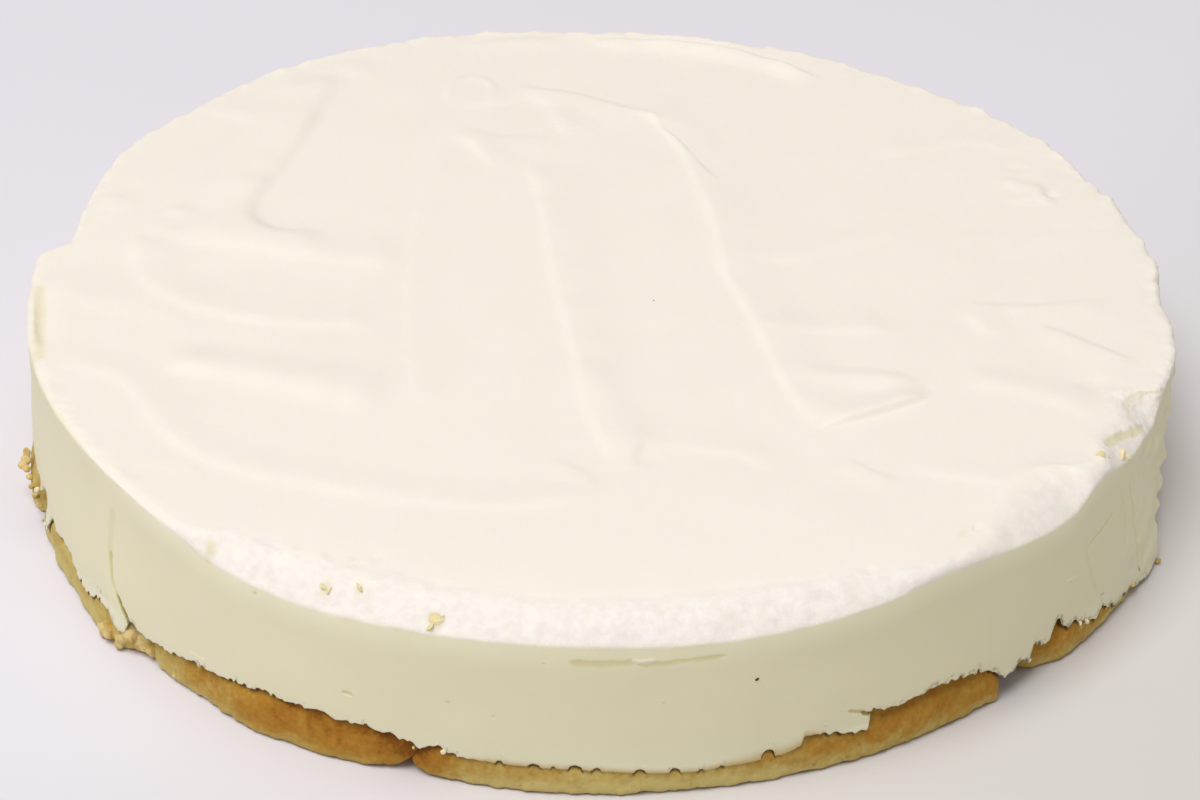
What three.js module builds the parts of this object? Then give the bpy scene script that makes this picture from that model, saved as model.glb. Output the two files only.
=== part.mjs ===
// A whole round lemon mousse cake: a deep layer of set mousse on a base of sponge fingers.
// The cake was set in a ring tin, so its wall is smooth and upright, and its top is spread with
// a palette knife. The fingers of the base are bent round the wall of the tin, end to end,
// and straight ones, trimmed to a disc, fill the middle.
// Millimetres, +Z up. The origin is the centre of the underside, and -Y is the front.
import * as THREE from "three";

// Driving dimensions.
const TIN_RADIUS = 130; // a 26 cm ring tin
const CAKE_HEIGHT = 42;
const FINGER_THICKNESS = 11.5;
const FINGER_WIDTH = 32;
const GAP = 0.3; // kept between solids that touch

const BASE_RADIUS = TIN_RADIUS + 0.6; // the fingers stand slightly proud of the mousse
const MIDDLE_RADIUS = BASE_RADIUS - FINGER_WIDTH - 0.8;
const MOUSSE_UNDERSIDE = FINGER_THICKNESS + GAP;

const { degToRad: toRadians, radToDeg: toDegrees, lerp, smoothstep } = THREE.MathUtils;

// 1 over the flat middle share of an arc, falling smoothly to 0 at halfWidth degrees to either side.
function arcBump(angle, middle, halfWidth, flatShare) {
  const turn = THREE.MathUtils.euclideanModulo(angle - middle + 180, 360) - 180;
  return 1 - smoothstep(Math.abs(turn), flatShare * halfWidth, halfWidth);
}

// Hollows or rises on arcs of the cake: [middle in degrees, half width in degrees, size in mm].
// A flat share of 0.7 keeps the full size over the middle 70% of each.
function sumOfBumps(angle, bumps, flatShare = 0) {
  const sizeAt = ([middle, halfWidth, size]) => size * arcBump(angle, middle, halfWidth, flatShare);
  return bumps.reduce((sum, bump) => sum + sizeAt(bump), 0);
}

// Waves round the cake: [how many, height in mm, phase in degrees].
function sumOfWaves(angle, waves) {
  const heightOf = ([count, size, phase]) => size * Math.sin(toRadians(count * angle + phase));
  return waves.reduce((sum, wave) => sum + heightOf(wave), 0);
}

function closedGeometry(positions, indices) {
  const geometry = new THREE.BufferGeometry();
  geometry.setAttribute("position", new THREE.Float32BufferAttribute(positions, 3));
  geometry.setIndex(indices);
  geometry.computeVertexNormals();
  return geometry;
}

// Where the foot of the cake bulges, as the fingers pressed outwards when the tin came off.
const FOOT_BULGES = [
  [-64, 26, 2.4],
  [-26, 18, 3.8],
  [-119, 12, 0.9],
  [-168, 9, 1.6],
];

function baseRadius(angle) {
  return BASE_RADIUS + sumOfBumps(angle, FOOT_BULGES);
}

// ---- Sponge fingers -------------------------------------------------------------------------
// A finger has a flat underside, a foot that spreads a little, and a rounded back.
const FINGER_SHOULDER = 9.5; // height at which the back starts to round over
const FINGER_SECTION = [
  // [inset from the plan outline, height]
  [0.8, 0],
  [0, 2],
  [1.6, 6],
  [3.2, FINGER_SHOULDER],
  [5, FINGER_THICKNESS],
];
const FINGER_CORNER = 5.5; // plan radius of a finger's corners
const OUTLINE_STEP = 10; // along the outer side
const CORNER_STEPS = 2;
const TRIM_STEP = 30; // along the middle disc's edge

const spongeMaterial = new THREE.MeshStandardMaterial({ color: "#c08a45", roughness: 0.85, metalness: 0 });

// How far the section is set back from the plan outline at a height.
function sectionInset(z) {
  const upper = Math.max(1, FINGER_SECTION.findIndex(([, height]) => height >= z));
  const [inset0, z0] = FINGER_SECTION[upper - 1];
  const [inset1, z1] = FINGER_SECTION[upper];
  return lerp(inset0, inset1, (z - z0) / (z1 - z0));
}

// Moves a counter-clockwise outline inwards, each side by the same distance, and a sharp corner less.
function insetOutline(outline, distance) {
  const count = outline.length;
  const sideNormal = (from, to) => new THREE.Vector2(to.y - from.y, from.x - to.x).normalize();
  return outline.map((point, i) => {
    const before = sideNormal(outline[(i + count - 1) % count], point);
    const after = sideNormal(point, outline[(i + 1) % count]);
    const mitre = before.clone().add(after).divideScalar(Math.max(0.5, 1 + before.dot(after)));
    return point.clone().addScaledVector(mitre, -distance);
  });
}

// Closed solid from a plan outline: the section's rows, then a cap above and below.
function fingerGeometry(outline) {
  const count = outline.length;
  const rows = FINGER_SECTION.map(([inset, z]) =>
    insetOutline(outline, inset).map((p) => new THREE.Vector3(p.x, p.y, z)),
  );
  const positions = rows.flat().flatMap((p) => p.toArray());
  const indices = [];
  for (let row = 0; row < rows.length - 1; row++) {
    for (let i = 0; i < count; i++) {
      const next = (i + 1) % count;
      const [a, b] = [row * count + i, row * count + next];
      indices.push(a, b, b + count, a, b + count, a + count);
    }
  }
  const topStart = (rows.length - 1) * count;
  const flat = (row) => row.map((p) => new THREE.Vector2(p.x, p.y));
  for (const [a, b, c] of THREE.ShapeUtils.triangulateShape(flat(rows[0]), [])) {
    indices.push(a, c, b);
  }
  for (const corners of THREE.ShapeUtils.triangulateShape(flat(rows.at(-1)), [])) {
    indices.push(...corners.map((i) => topStart + i));
  }
  return closedGeometry(positions, indices);
}

// Plan of a finger bent round the tin, between two angles in degrees.
function bentOutline(start, end) {
  const turnOf = (length, depth) => toDegrees(length / (BASE_RADIUS - depth));
  const at = (depth, angle) => {
    const radius = baseRadius(angle) - depth;
    return new THREE.Vector2(radius * Math.cos(toRadians(angle)), radius * Math.sin(toRadians(angle)));
  };
  // A quarter round from a long side to the tip: inwards and outwards are +1 or -1, the ways that
  // the finger's middle and its tip lie.
  const corner = (depth, inwards, tip, outwards) =>
    Array.from({ length: CORNER_STEPS + 1 }, (_, i) => {
      const phase = (i / CORNER_STEPS) * (Math.PI / 2);
      const back = FINGER_CORNER * (1 - Math.sin(phase));
      const aside = FINGER_CORNER * (1 - Math.cos(phase));
      return at(depth + inwards * aside, tip - outwards * turnOf(back, depth));
    });
  const side = (depth, from, to) => {
    const steps = Math.ceil((toRadians(Math.abs(to - from)) * BASE_RADIUS) / OUTLINE_STEP);
    return Array.from({ length: steps - 1 }, (_, i) => at(depth, lerp(from, to, (i + 1) / steps)));
  };
  const [outerTurn, innerTurn] = [turnOf(FINGER_CORNER, 0), turnOf(FINGER_CORNER, FINGER_WIDTH)];
  return [
    ...side(0, start + outerTurn, end - outerTurn),
    ...corner(0, 1, end, 1),
    ...corner(FINGER_WIDTH, -1, end, 1).reverse(),
    ...side(FINGER_WIDTH, end - innerTurn, start + innerTurn),
    ...corner(FINGER_WIDTH, -1, start, -1),
    ...corner(0, 1, start, -1).reverse(),
  ];
}

// Plan of the part of a row that lies to the right of a cut, trimmed by the middle disc.
function trimmedOutline(cut, y0, y1) {
  const reach = Math.sqrt(MIDDLE_RADIUS ** 2 - cut ** 2);
  const discAngle = (y) =>
    Math.abs(y) < reach ? Math.asin(y / MIDDLE_RADIUS) : Math.atan2(Math.sign(y) * reach, cut);
  const [start, end] = [discAngle(y0), discAngle(y1)];
  const shape = new THREE.Shape();
  shape.moveTo(cut, Math.min(y1, reach));
  shape.lineTo(cut, Math.max(y0, -reach));
  shape.absarc(0, 0, MIDDLE_RADIUS, start, end);
  const points = shape.getPoints(Math.ceil(((end - start) * MIDDLE_RADIUS) / TRIM_STEP));
  return points.filter((p, i) => p.distanceTo(points[(i + 1) % points.length]) > 1);
}

// ---- Mousse ----------------------------------------------------------------------------------
// Hollows in the wall: mousse that stayed on the tin at the left, and torn away at the right.
const WALL_HOLLOWS = [
  [169, 8, 6],
  [172, 4, 2.5],
  [-166, 9, 1.6],
  [-154, 26, 2.6],
  [-20, 11, 2.4],
];
const HOLLOW_FADE = [14, 30]; // heights between which the hollows open out
const WALL_WAVES = [
  [5, 0.35, 0],
  [11, 0.25, 70],
];
const FOOT_PROUD = 0.4; // how far the wall's foot stands outside the tin's radius

// The wall's foot laps down over the fingers, and is torn off higher where it stuck to the tin.
const LAP_HEIGHT = 5.6;
const LAP_HIGHEST = FINGER_THICKNESS - 0.9;
const LAP_TEARS = [
  [-151, 6, 4.4],
  [-119, 16, 4.2],
  [-57.5, 7.5, 5],
  [-42, 4, 3],
  [-5, 15, 2.5],
  [35, 12, 4],
  [78, 20, 3],
  [128, 14, 4.5],
  [172, 10, 3.5],
];
const LAP_TEAR_FLAT = 0.7;
const LAP_RAGGED = [
  [31, 0.5, 0],
  [53, 0.4, 20],
];
const LAP_LIP = 0.15; // the height of the lap's thin torn lip
const LAP_GAP = 0.6; // between the inside of the lap and the fingers' rounded sides

// The rim is crumbled round at the front and nearly square elsewhere.
const RIM_CRUMBLED = [
  [-85, 62, 1],
  [-24, 12, 0.7],
];
const RIM_SQUARE = { inset: 1.6, drop: 1.8 };
const RIM_ROUND = { inset: 4.2, drop: 5.6 };

// Rises along the rim, where strokes of the knife ended.
const RIM_RISES = [
  [-42, 12, 1.2],
  [80, 30, 1.2],
];
const RIM_RISE_START = 0.85; // share of the way out from the middle

// Ridges left by the palette knife: their route in plan, how high they stand, and how wide
// they are to the left and to the right of that route.
const RIDGES = [
  { name: "middle", route: [[-16, 55], [-9, 5], [-2, -40], [7, -80]], rise: 1.1, left: 5, right: 7 },
  {
    name: "fold",
    route: [[-19, 96], [12, 80], [26, 40], [34, -12], [47, -61]],
    rise: 1.5,
    left: 5,
    right: 6,
  },
  { name: "fold_flap", route: [[47, -61], [74, -50], [46, -44]], rise: 1.3, left: 5, right: 5 },
  { name: "left_upper", route: [[-105, 17], [-80, 9], [-47, 2]], rise: 1.2, left: 7, right: 5 },
  {
    name: "left_middle",
    route: [[-124, -6], [-98, -18], [-70, -25], [-47, -25]],
    rise: 1.1,
    left: 6,
    right: 5,
  },
  { name: "left_lower", route: [[-92, -43], [-68, -50], [-43, -58]], rise: 1.4, left: 5, right: 8 },
  {
    name: "left_sweep",
    route: [[-117, -42], [-98, -52], [-81, -76], [-51, -87], [-15, -93], [0, -84]],
    rise: 1.1,
    left: 6,
    right: 5,
  },
  { name: "back_left", route: [[-70, 101], [-74, 65], [-82, 28], [-65, 14]], rise: 1.2, left: 9, right: 4 },
  { name: "back_lip", route: [[-33, 119], [8, 121], [35, 115], [57, 103]], rise: 1.6, left: 4, right: 6 },
  { name: "right_upper", route: [[35, 8], [57, 14], [92, 20], [119, 21]], rise: 0.8, left: 5, right: 6 },
  { name: "right_middle", route: [[38, -22], [70, -22]], rise: 0.8, left: 5, right: 5 },
  { name: "right_lower", route: [[83, -45], [99, -52], [107, -57]], rise: 0.9, left: 5, right: 6 },
  { name: "front_right", route: [[64, -78], [89, -82]], rise: 0.8, left: 5, right: 6 },
];

const TOP_SWELL = 0.25;
const TOP_RINGS = 24; // rings of the top's grid; ring k has 6k points
const COLUMNS = 6 * TOP_RINGS;
const RIM_STEPS = 3;
const WALL_STEPS = 3;
const ROUTE_SAMPLES = 40;

const mousseMaterial = new THREE.MeshStandardMaterial({ color: "#f1e8d6", roughness: 0.55, metalness: 0 });

function ridgeLine({ route, ...ridge }) {
  const curve = new THREE.CatmullRomCurve3(route.map(([x, y]) => new THREE.Vector3(x, y, 0)));
  return { ...ridge, points: curve.getPoints(ROUTE_SAMPLES) };
}
const ridgeLines = RIDGES.map(ridgeLine);

// Height of one ridge at a point: it fades to both sides of its line, and towards its ends.
function ridgeHeight({ points, rise, left, right }, x, y) {
  let nearest = { distance: Infinity };
  points.forEach((point, i) => {
    const distance = Math.hypot(x - point.x, y - point.y);
    if (distance < nearest.distance) nearest = { distance, i };
  });
  const before = points[Math.max(0, nearest.i - 1)];
  const after = points[Math.min(points.length - 1, nearest.i + 1)];
  const side = (after.x - before.x) * (y - before.y) - (after.y - before.y) * (x - before.x);
  const width = side > 0 ? left : right;
  const t = nearest.i / (points.length - 1);
  const taper = smoothstep(t, 0, 0.15) * (1 - smoothstep(t, 0.85, 1));
  return rise * taper * Math.exp(-((nearest.distance / width) ** 2));
}

// The top is nearly level, with a slow swell.
function topHeight(x, y) {
  const swell = TOP_SWELL * Math.sin(x / 31 + 0.6) * Math.cos(y / 27 - 0.4);
  return CAKE_HEIGHT + swell + ridgeLines.reduce((sum, ridge) => sum + ridgeHeight(ridge, x, y), 0);
}

function wallRadius(angle, z) {
  const upper = smoothstep(z, ...HOLLOW_FADE);
  const foot = FOOT_PROUD + sumOfBumps(angle, FOOT_BULGES);
  return TIN_RADIUS + lerp(foot, sumOfWaves(angle, WALL_WAVES) - sumOfBumps(angle, WALL_HOLLOWS), upper);
}

function lapHeight(angle) {
  const torn = sumOfBumps(angle, LAP_TEARS, LAP_TEAR_FLAT);
  return Math.min(LAP_HIGHEST, LAP_HEIGHT + sumOfWaves(angle, LAP_RAGGED) + torn);
}

// The mousse's inner radius where it laps over the fingers.
function lapInnerRadius(angle, z) {
  return baseRadius(angle) - sectionInset(z) + LAP_GAP;
}

// The rim at an angle: how far in it starts to round over, how far it drops, and how it rises.
function rimAt(angle) {
  const round = Math.min(1, sumOfBumps(angle, RIM_CRUMBLED));
  return {
    inset: lerp(RIM_SQUARE.inset, RIM_ROUND.inset, round),
    drop: lerp(RIM_SQUARE.drop, RIM_ROUND.drop, round),
    rise: sumOfBumps(angle, RIM_RISES),
  };
}

function topEdgeRadius(angle) {
  return wallRadius(angle, CAKE_HEIGHT) - rimAt(angle).inset;
}

// A point of the top, as a share of the way from the middle to the rim.
function topPoint(angle, share) {
  const a = toRadians(angle);
  const radius = share * topEdgeRadius(angle);
  const rise = rimAt(angle).rise * smoothstep(share, RIM_RISE_START, 1);
  return [radius, topHeight(radius * Math.cos(a), radius * Math.sin(a)) + rise];
}

// The side of the mousse, from the rim to the underside, as functions that give the radius and
// the height at an angle.
function sideBands() {
  const bands = [];
  for (let step = 1; step <= RIM_STEPS; step++) {
    const phase = (step / RIM_STEPS) * (Math.PI / 2);
    bands.push((angle) => {
      const { inset, drop } = rimAt(angle);
      const [edge, height] = topPoint(angle, 1);
      return [edge + inset * Math.sin(phase), height - drop * (1 - Math.cos(phase))];
    });
  }
  const wallTop = bands.at(-1);
  for (let step = 1; step <= WALL_STEPS; step++) {
    bands.push((angle) => {
      const z = lerp(wallTop(angle)[1], lapHeight(angle), step / WALL_STEPS);
      return [wallRadius(angle, z), z];
    });
  }
  bands.push((angle) => {
    const z = lapHeight(angle) + LAP_LIP;
    return [Math.min(lapInnerRadius(angle, z), wallRadius(angle, z) - FOOT_PROUD), z];
  });
  bands.push((angle) => {
    const z = Math.max(FINGER_SHOULDER, lapHeight(angle) + 2 * LAP_LIP);
    return [lapInnerRadius(angle, z), z];
  });
  bands.push((angle) => [lapInnerRadius(angle, FINGER_THICKNESS), MOUSSE_UNDERSIDE]);
  return bands;
}

function mousseGeometry() {
  const positions = [];
  const indices = [];
  const addPoint = (angle, [radius, z]) => {
    const a = toRadians(angle);
    positions.push(radius * Math.cos(a), radius * Math.sin(a), z);
  };

  // The top: a middle point, then ring k with 6k points.
  const ringStart = (ring) => (ring ? 1 + 3 * ring * (ring - 1) : 0);
  const ringSize = (ring) => Math.max(1, 6 * ring);
  addPoint(0, topPoint(0, 0));
  for (let ring = 1; ring <= TOP_RINGS; ring++) {
    for (let i = 0; i < ringSize(ring); i++) {
      const angle = (360 * i) / ringSize(ring);
      addPoint(angle, topPoint(angle, ring / TOP_RINGS));
    }
    for (let sector = 0; sector < 6; sector++) {
      const at = (k, offset) => ringStart(k) + ((sector * k + offset) % ringSize(k));
      for (let i = 0; i < ring; i++) {
        indices.push(at(ring, i), at(ring, i + 1), at(ring - 1, i));
        if (i < ring - 1) indices.push(at(ring, i + 1), at(ring - 1, i + 1), at(ring - 1, i));
      }
    }
  }

  // The side, band after band, each of COLUMNS points.
  let previous = ringStart(TOP_RINGS);
  for (const band of sideBands()) {
    const start = positions.length / 3;
    for (let i = 0; i < COLUMNS; i++) {
      const angle = (360 * i) / COLUMNS;
      addPoint(angle, band(angle));
    }
    for (let i = 0; i < COLUMNS; i++) {
      const next = (i + 1) % COLUMNS;
      indices.push(start + i, start + next, previous + next);
      indices.push(start + i, previous + next, previous + i);
    }
    previous = start;
  }

  // The underside, flat on the backs of the fingers.
  const middle = positions.length / 3;
  addPoint(0, [0, MOUSSE_UNDERSIDE]);
  for (let i = 0; i < COLUMNS; i++) indices.push(previous + i, middle, previous + ((i + 1) % COLUMNS));

  return closedGeometry(positions, indices);
}

// ---- Assembly --------------------------------------------------------------------------------
const cake = new THREE.Group();

function addNode(name, geometry, material) {
  const mesh = new THREE.Mesh(geometry, material);
  mesh.name = name;
  cake.add(mesh);
}

addNode("mousse", mousseGeometry(), mousseMaterial);

// Fingers bent round the tin, between two angles in degrees from +X.
const EDGE_FINGERS = {
  front: [-103.9, -49.3],
  right: [-45.3, 5.5],
  back_right: [7, 56],
  back: [57.5, 107],
  back_left: [108.5, 157],
  left: [158.5, 198.5],
  front_left_stub: [200, 223.2],
  front_left: [225.8, 254.8],
};
for (const [name, [start, end]] of Object.entries(EDGE_FINGERS)) {
  addNode(`sponge_edge_${name}`, fingerGeometry(bentOutline(start, end)), spongeMaterial);
}

// Straight fingers in rows across the middle, each row cut once, at an x that varies by row.
const ROW_CUTS = [4, -10, 22, -18, 8, -5];
const CUT_GAP = 0.8;
const rowsEdge = MIDDLE_RADIUS + 1;
const rowPitch = (2 * rowsEdge) / ROW_CUTS.length;
const mirrored = (outline) => outline.map((p) => new THREE.Vector2(-p.x, p.y)).reverse();
ROW_CUTS.forEach((cut, row) => {
  const y0 = -rowsEdge + row * rowPitch + CUT_GAP / 2;
  const y1 = y0 + rowPitch - CUT_GAP;
  const halves = {
    left: mirrored(trimmedOutline(CUT_GAP / 2 - cut, y0, y1)),
    right: trimmedOutline(cut + CUT_GAP / 2, y0, y1),
  };
  for (const [side, outline] of Object.entries(halves)) {
    addNode(`sponge_middle_${row + 1}_${side}`, fingerGeometry(outline), spongeMaterial);
  }
});

// The origin goes to the middle of the underside.
const bounds = new THREE.Box3().setFromObject(cake);
const middle = bounds.getCenter(new THREE.Vector3());
cake.position.set(-middle.x, -middle.y, -bounds.min.z);

export default cake;
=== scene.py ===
"""A whole round lemon mousse cake on a base of sponge fingers, dressed around its solids.

Lengths in the shape code are millimetres in the cake's own frame: +Z up, the front towards -Y,
and angles in degrees round the middle from +X. A mesh is turned into metres when it is made.
"""

import math

import bmesh
import bpy
import numpy as np
from mathutils import Matrix, Vector, noise
from mathutils.bvhtree import BVHTree


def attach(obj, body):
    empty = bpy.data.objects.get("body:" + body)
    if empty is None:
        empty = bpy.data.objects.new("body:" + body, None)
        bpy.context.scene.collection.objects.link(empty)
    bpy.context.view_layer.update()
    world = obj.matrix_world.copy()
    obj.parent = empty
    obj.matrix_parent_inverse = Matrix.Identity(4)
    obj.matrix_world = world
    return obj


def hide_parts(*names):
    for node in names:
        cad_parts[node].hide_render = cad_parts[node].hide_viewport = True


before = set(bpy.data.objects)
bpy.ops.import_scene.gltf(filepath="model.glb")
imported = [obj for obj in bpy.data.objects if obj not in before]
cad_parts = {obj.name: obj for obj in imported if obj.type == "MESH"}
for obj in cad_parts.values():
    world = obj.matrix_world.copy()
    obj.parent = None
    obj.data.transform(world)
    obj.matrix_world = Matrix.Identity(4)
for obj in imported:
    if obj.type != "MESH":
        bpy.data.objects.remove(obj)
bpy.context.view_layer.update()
MM = 0.001

# ---- Camera ------------------------------------------------------------------------------------
# Stands in front of the cake and looks down on it, as someone at the table does, with a long lens.
# It is tilted a degree to one side.
CAMERA_LENS = 79.5
SENSOR_WIDTH = 36
NEAREST_SEEN = 10 * MM
CAMERA_DISTANCE = 637 * MM
CAMERA_ELEVATION = math.radians(33)
CAMERA_ROLL = math.radians(1.03)
CAMERA_TARGET = Vector((2.34, 11.44, 0)) * MM

camera = bpy.data.objects.new("camera", bpy.data.cameras.new("camera"))
camera.data.lens = CAMERA_LENS
camera.data.sensor_width = SENSOR_WIDTH
camera.data.clip_start = NEAREST_SEEN
bpy.context.scene.collection.objects.link(camera)
looking = Matrix.Rotation(math.pi / 2 - CAMERA_ELEVATION, 4, "X") @ Matrix.Rotation(CAMERA_ROLL, 4, "Z")
towards_camera = Vector((0, -math.cos(CAMERA_ELEVATION), math.sin(CAMERA_ELEVATION)))
camera.matrix_world = Matrix.Translation(CAMERA_TARGET + CAMERA_DISTANCE * towards_camera) @ looking
bpy.context.scene.camera = camera
bpy.context.scene.view_settings.view_transform = "Standard"

# ---- Sponge fingers round the rim ----------------------------------------------------------------
# Soft sponge fingers, bent round the wall of the tin and laid end to end. Each has a flat underside,
# a rounded back with a thin golden-brown crust that is paler towards the foot, and a fine crumb
# that shows where its end was cut. The mousse was poured over them and holds them.
BASE_RADIUS = 130.6
FINGER_WIDTH = 32
FINGER_THICKNESS = 11.5
WIDEST = [
    # angle and radius of the ring of fingers at its widest line
    [-178, 129], [-168, 129.6], [-163, 130], [-160, 129.6], [-156, 129], [-152, 129.4], [-147, 129.8],
    [-142.6, 130.4], [-140.6, 130.8], [-138.4, 130.8], [-137, 130.2], [-135.8, 129.2], [-134, 128.7],
    [-131, 129.2], [-127, 129.4], [-120.6, 131.4], [-117, 131.2], [-112, 130.8], [-108, 130.3], [-98, 130.5],
    [-93, 130.8], [-86, 131.1], [-50, 131.1], [-46, 130.4], [-43, 130.2], [-40.6, 131.8], [-36, 132.5],
    [-31, 132.9], [-27, 133.8], [-24, 134.9], [-22.3, 134.8], [-20, 133.4], [-17.5, 132.3], [-14, 131.6],
    [-5, 131.2], [6, 130.9], [20, 130.6], [90, 130.4], [150, 130.4], [168, 129.4],
]
# The outer side, from the underside up: how far it lies inside the widest line, and its height.
FINGER_SIDE = [
    [1.0, 0.0], [0.3, 0.6], [0.0, 2.0], [0.0, 4.5], [0.4, 7.0], [1.2, 9.0], [2.6, 10.6], [5.0, 11.4],
    [8.0, FINGER_THICKNESS],
]
# How many points one section has on its outer side, its inner side, its back and its underside.
OUTER_POINTS, INNER_POINTS, BACK_POINTS, UNDER_POINTS = 27, 9, 7, 16
ROW_SPACING = 0.55
END_SPACING = 0.2  # between a finger's end and the first row inside it
LAST_ROW = 0.5  # how close to the finger's end the evenly spaced rows may come
CAP_RINGS = (0.85, 0.65, 0.4, 0.15)  # size of the rings that close an end, as a share of its outline
# For each finger's start and end: how far back from it the rounding reaches, then how much it takes off
# in plan, up from the underside and down from the back. Then, in degrees, how far the start and the
# end are pushed on, and how far the top of the start and of the end lean on past their foot.
EDGE_FINGERS = {
    "front_left_stub": ((6, 5, 1, 3), (4, 3, 1, 3), 0, 0, (0, 0)),
    "front_left": ((4, 2, 1, 3), (12, 3, 5, 1.2), 0, 0.9, (0, 1.6)),
    "front": ((6, 3, 4, 1.0), (1.4, 1.3, 0.4, 0.8), -0.7, 0, (1.6, 0)),
    "right": ((8, 4, 3, 2.5), (6, 5, 2, 3), -0.2, 0, (-0.6, 0)),
    "back_right": ((6, 6, 1, 3), (6, 6, 2, 3), 0, 0, (0, 0)),
    "back": ((7, 7, 3, 3), (5, 5, 1, 3), 0, 0, (0, 0)),
    "back_left": ((5, 5, 2, 3), (7, 7, 3, 3), 0, 0, (0, 0)),
    "left": ((6, 5, 2, 3), (5, 4, 1, 3), 0, 0, (0, 0)),
}
LEAN_REACH = 8  # mm along a finger over which its end's lean dies out
LEAN_LEVEL = 5  # the height that a lean leaves in place
FILM_EDGE = [
    # angle and height of the torn lower edge of the film of mousse over the fingers
    [-175, 9], [-168, 11.6], [-164, 11.6], [-161, 11.4], [-160.3, 9.8], [-159.3, 9.4], [-158.8, 12.6],
    [-157.3, 12.8], [-156.9, 7], [-156.2, 5.4], [-155.5, 8], [-154.8, 10.4], [-153, 9.6], [-151, 10.4],
    [-149, 10.2], [-146.5, 8], [-144.5, 7.4], [-143, 7.2], [-141.5, 8.4], [-140, 8], [-138.6, 6.6],
    [-137.8, 5.4], [-137.1, 5.4], [-136.8, 7], [-136.2, 9], [-135.7, 8.8],
    [-135, 7.8], [-133.7, 7.6], [-131.8, 8.1], [-127.4, 9.3], [-123.5, 10.2], [-120, 10.8], [-117.2, 11],
    [-114.6, 10.8], [-113.4, 11.5], [-111.8, 10.8], [-109.1, 11], [-107.7, 9.9], [-106.4, 9.7], [-105.3, 9.5],
    [-104.2, 8.1], [-102.9, 9], [-102.1, 8.4], [-101.1, 7.5], [-99, 7.2], [-97.2, 7], [-92.3, 6.9],
    [-87.7, 6.6], [-83.6, 6], [-80.2, 5.6], [-78, 6], [-76.3, 6.2], [-74.6, 6.4], [-72.2, 7], [-71, 7.6],
    [-70.5, 9.8], [-69.8, 10], [-68.5, 9.5], [-66.8, 8.9], [-65.6, 8.2], [-64.8, 8], [-64.45, 9.2],
    [-64.25, 11.4], [-64, 12.6],
    [-63.6, 12.2], [-61.8, 11.6], [-59.6, 12.6], [-56.7, 12.6], [-54.7, 12.3], [-52.5, 11.2], [-50.8, 9.6],
    [-49.8, 8], [-49.1, 6.8], [-48.3, 7], [-47, 7.2], [-45.8, 6.8], [-45.4, 8.4], [-44.8, 9.6],
    [-43.6, 8.4], [-42.9, 8], [-42.6, 9.8], [-42.2, 11.6], [-41.4, 11.4], [-40.9, 9.4], [-39.3, 8.4],
    [-38.6, 7.8], [-37, 6.4], [-35.6, 5.6], [-34.9, 7],
    [-34, 6.4], [-33.2, 4.9], [-30, 3.1], [-28.1, 3.4], [-26.9, 1.8], [-22, 1.5], [-10, 1.4],
    [0, 2.6], [14, 5], [30, 8.5], [44, 6], [60, 7.2], [76, 9.2], [90, 6.4], [106, 7.4], [124, 9.4],
    [136, 6.6], [150, 6], [162, 7.6],
]
# Open bubbles along the film's edge: angle, half width in mm, height in mm.
BUBBLES = [
    [-97, 0.75, 0.7], [-94, 1.2, 0.8], [-92.4, 0.5, 0.5], [-90.5, 1.4, 1.0], [-88.7, 0.9, 0.7],
    [-85, 1.2, 0.9], [-82, 1.1, 1.1], [-79.8, 0.5, 0.6], [-78, 0.5, 0.5], [-73.9, 1.5, 2.0],
]
# How large the small bites in the torn edge are: angle and mm.
BITES = [
    [-175, 0.8], [-153, 1.1], [-149, 0.8], [-136, 0.8], [-133, 1.1], [-125, 1.0], [-106, 1.1], [-101, 0.9],
    [-98, 0.2], [-76, 0.12], [-70, 0.5], [-66, 0.7], [-62, 1.2], [-55, 1.3], [-47, 1.2], [-40, 1.4],
    [-30, 1.2], [-15, 0.8], [60, 0.8], [120, 0.8], [170, 0.7],
]
BITE_SPACING = 1.7
BITE_SHIFT = 0.4  # how far a bite may lie from its place, as a share of the spacing
BITE_HALF_WIDTH = (0.25, 0.7)  # least and most, as a share of the spacing
BITE_SHARPNESS = 1.5  # above 1, most bites are shallow and a few are deep
BITE_MEAN = 0.3  # share of a bite that the edge is lowered by, so that its height stays the same
FILM_WAVES = [(0.5, 4, 15), (0.4, 1.3, 16)]  # rise, grain and seed
FILM_LOWEST, FILM_HIGHEST = 0.6, 13.2
# Where the film thins out softly over the sponge, with no wet line of painted shade below it: middle, half
# width, share.
DRY_UNSHADED_FILM = [[-85.5, 16, 1.0]]
# the wet line is wetness with painted shade of the gap under the film's edge
WET_SHADE_MARGIN = 0.4  # mm past a bubble's edge over which its wet line ends
# The sponge's unevenness in layers: rise, grain and seed, and octaves where there are more than one.
SPONGE_LUMPS = [(0.45, 11, 0), (0.3, 4, 1)]
UPRIGHT_WRINKLES = [(0.08, (1.4, 4, 4), 2)]
CRUST_GRAIN = [(0.16, 1.5, 3, 2)]
FOOT_LUMPS = [(0.35, 2.6, 6), (0.2, 1.1, 7)]
FOOT_TOP_EDGE = (1, 3)  # heights between which the foot's own lumps die out
COVERED_SHARE = 0.8  # how much less the sponge stands out where the mousse covers it
COVER_MARGIN = 1.5  # mm below the film's edge over which that comes in
HIGHEST_SPONGE = FINGER_THICKNESS + 0.1
NOISE_STEP = (17.3, 7.9, 3.1)  # how far the noise moves from one seed to the next


def smoothstep(x, low, high):
    t = np.clip((x - low) / (high - low), 0, 1)
    return t * t * (3 - 2 * t)


def turn_from(angle, middle):
    """How many degrees angle lies past middle, from -180 to 180."""
    return (angle - middle + 180) % 360 - 180


def bumps(angle, shapes, flat=0.0):
    """The sum of smooth bumps on arcs, each [middle, half width, size]."""
    total = np.zeros_like(angle)
    for middle, half_width, size in shapes:
        total += size * (1 - smoothstep(np.abs(turn_from(angle, middle)), flat * half_width, half_width))
    return total


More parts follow.
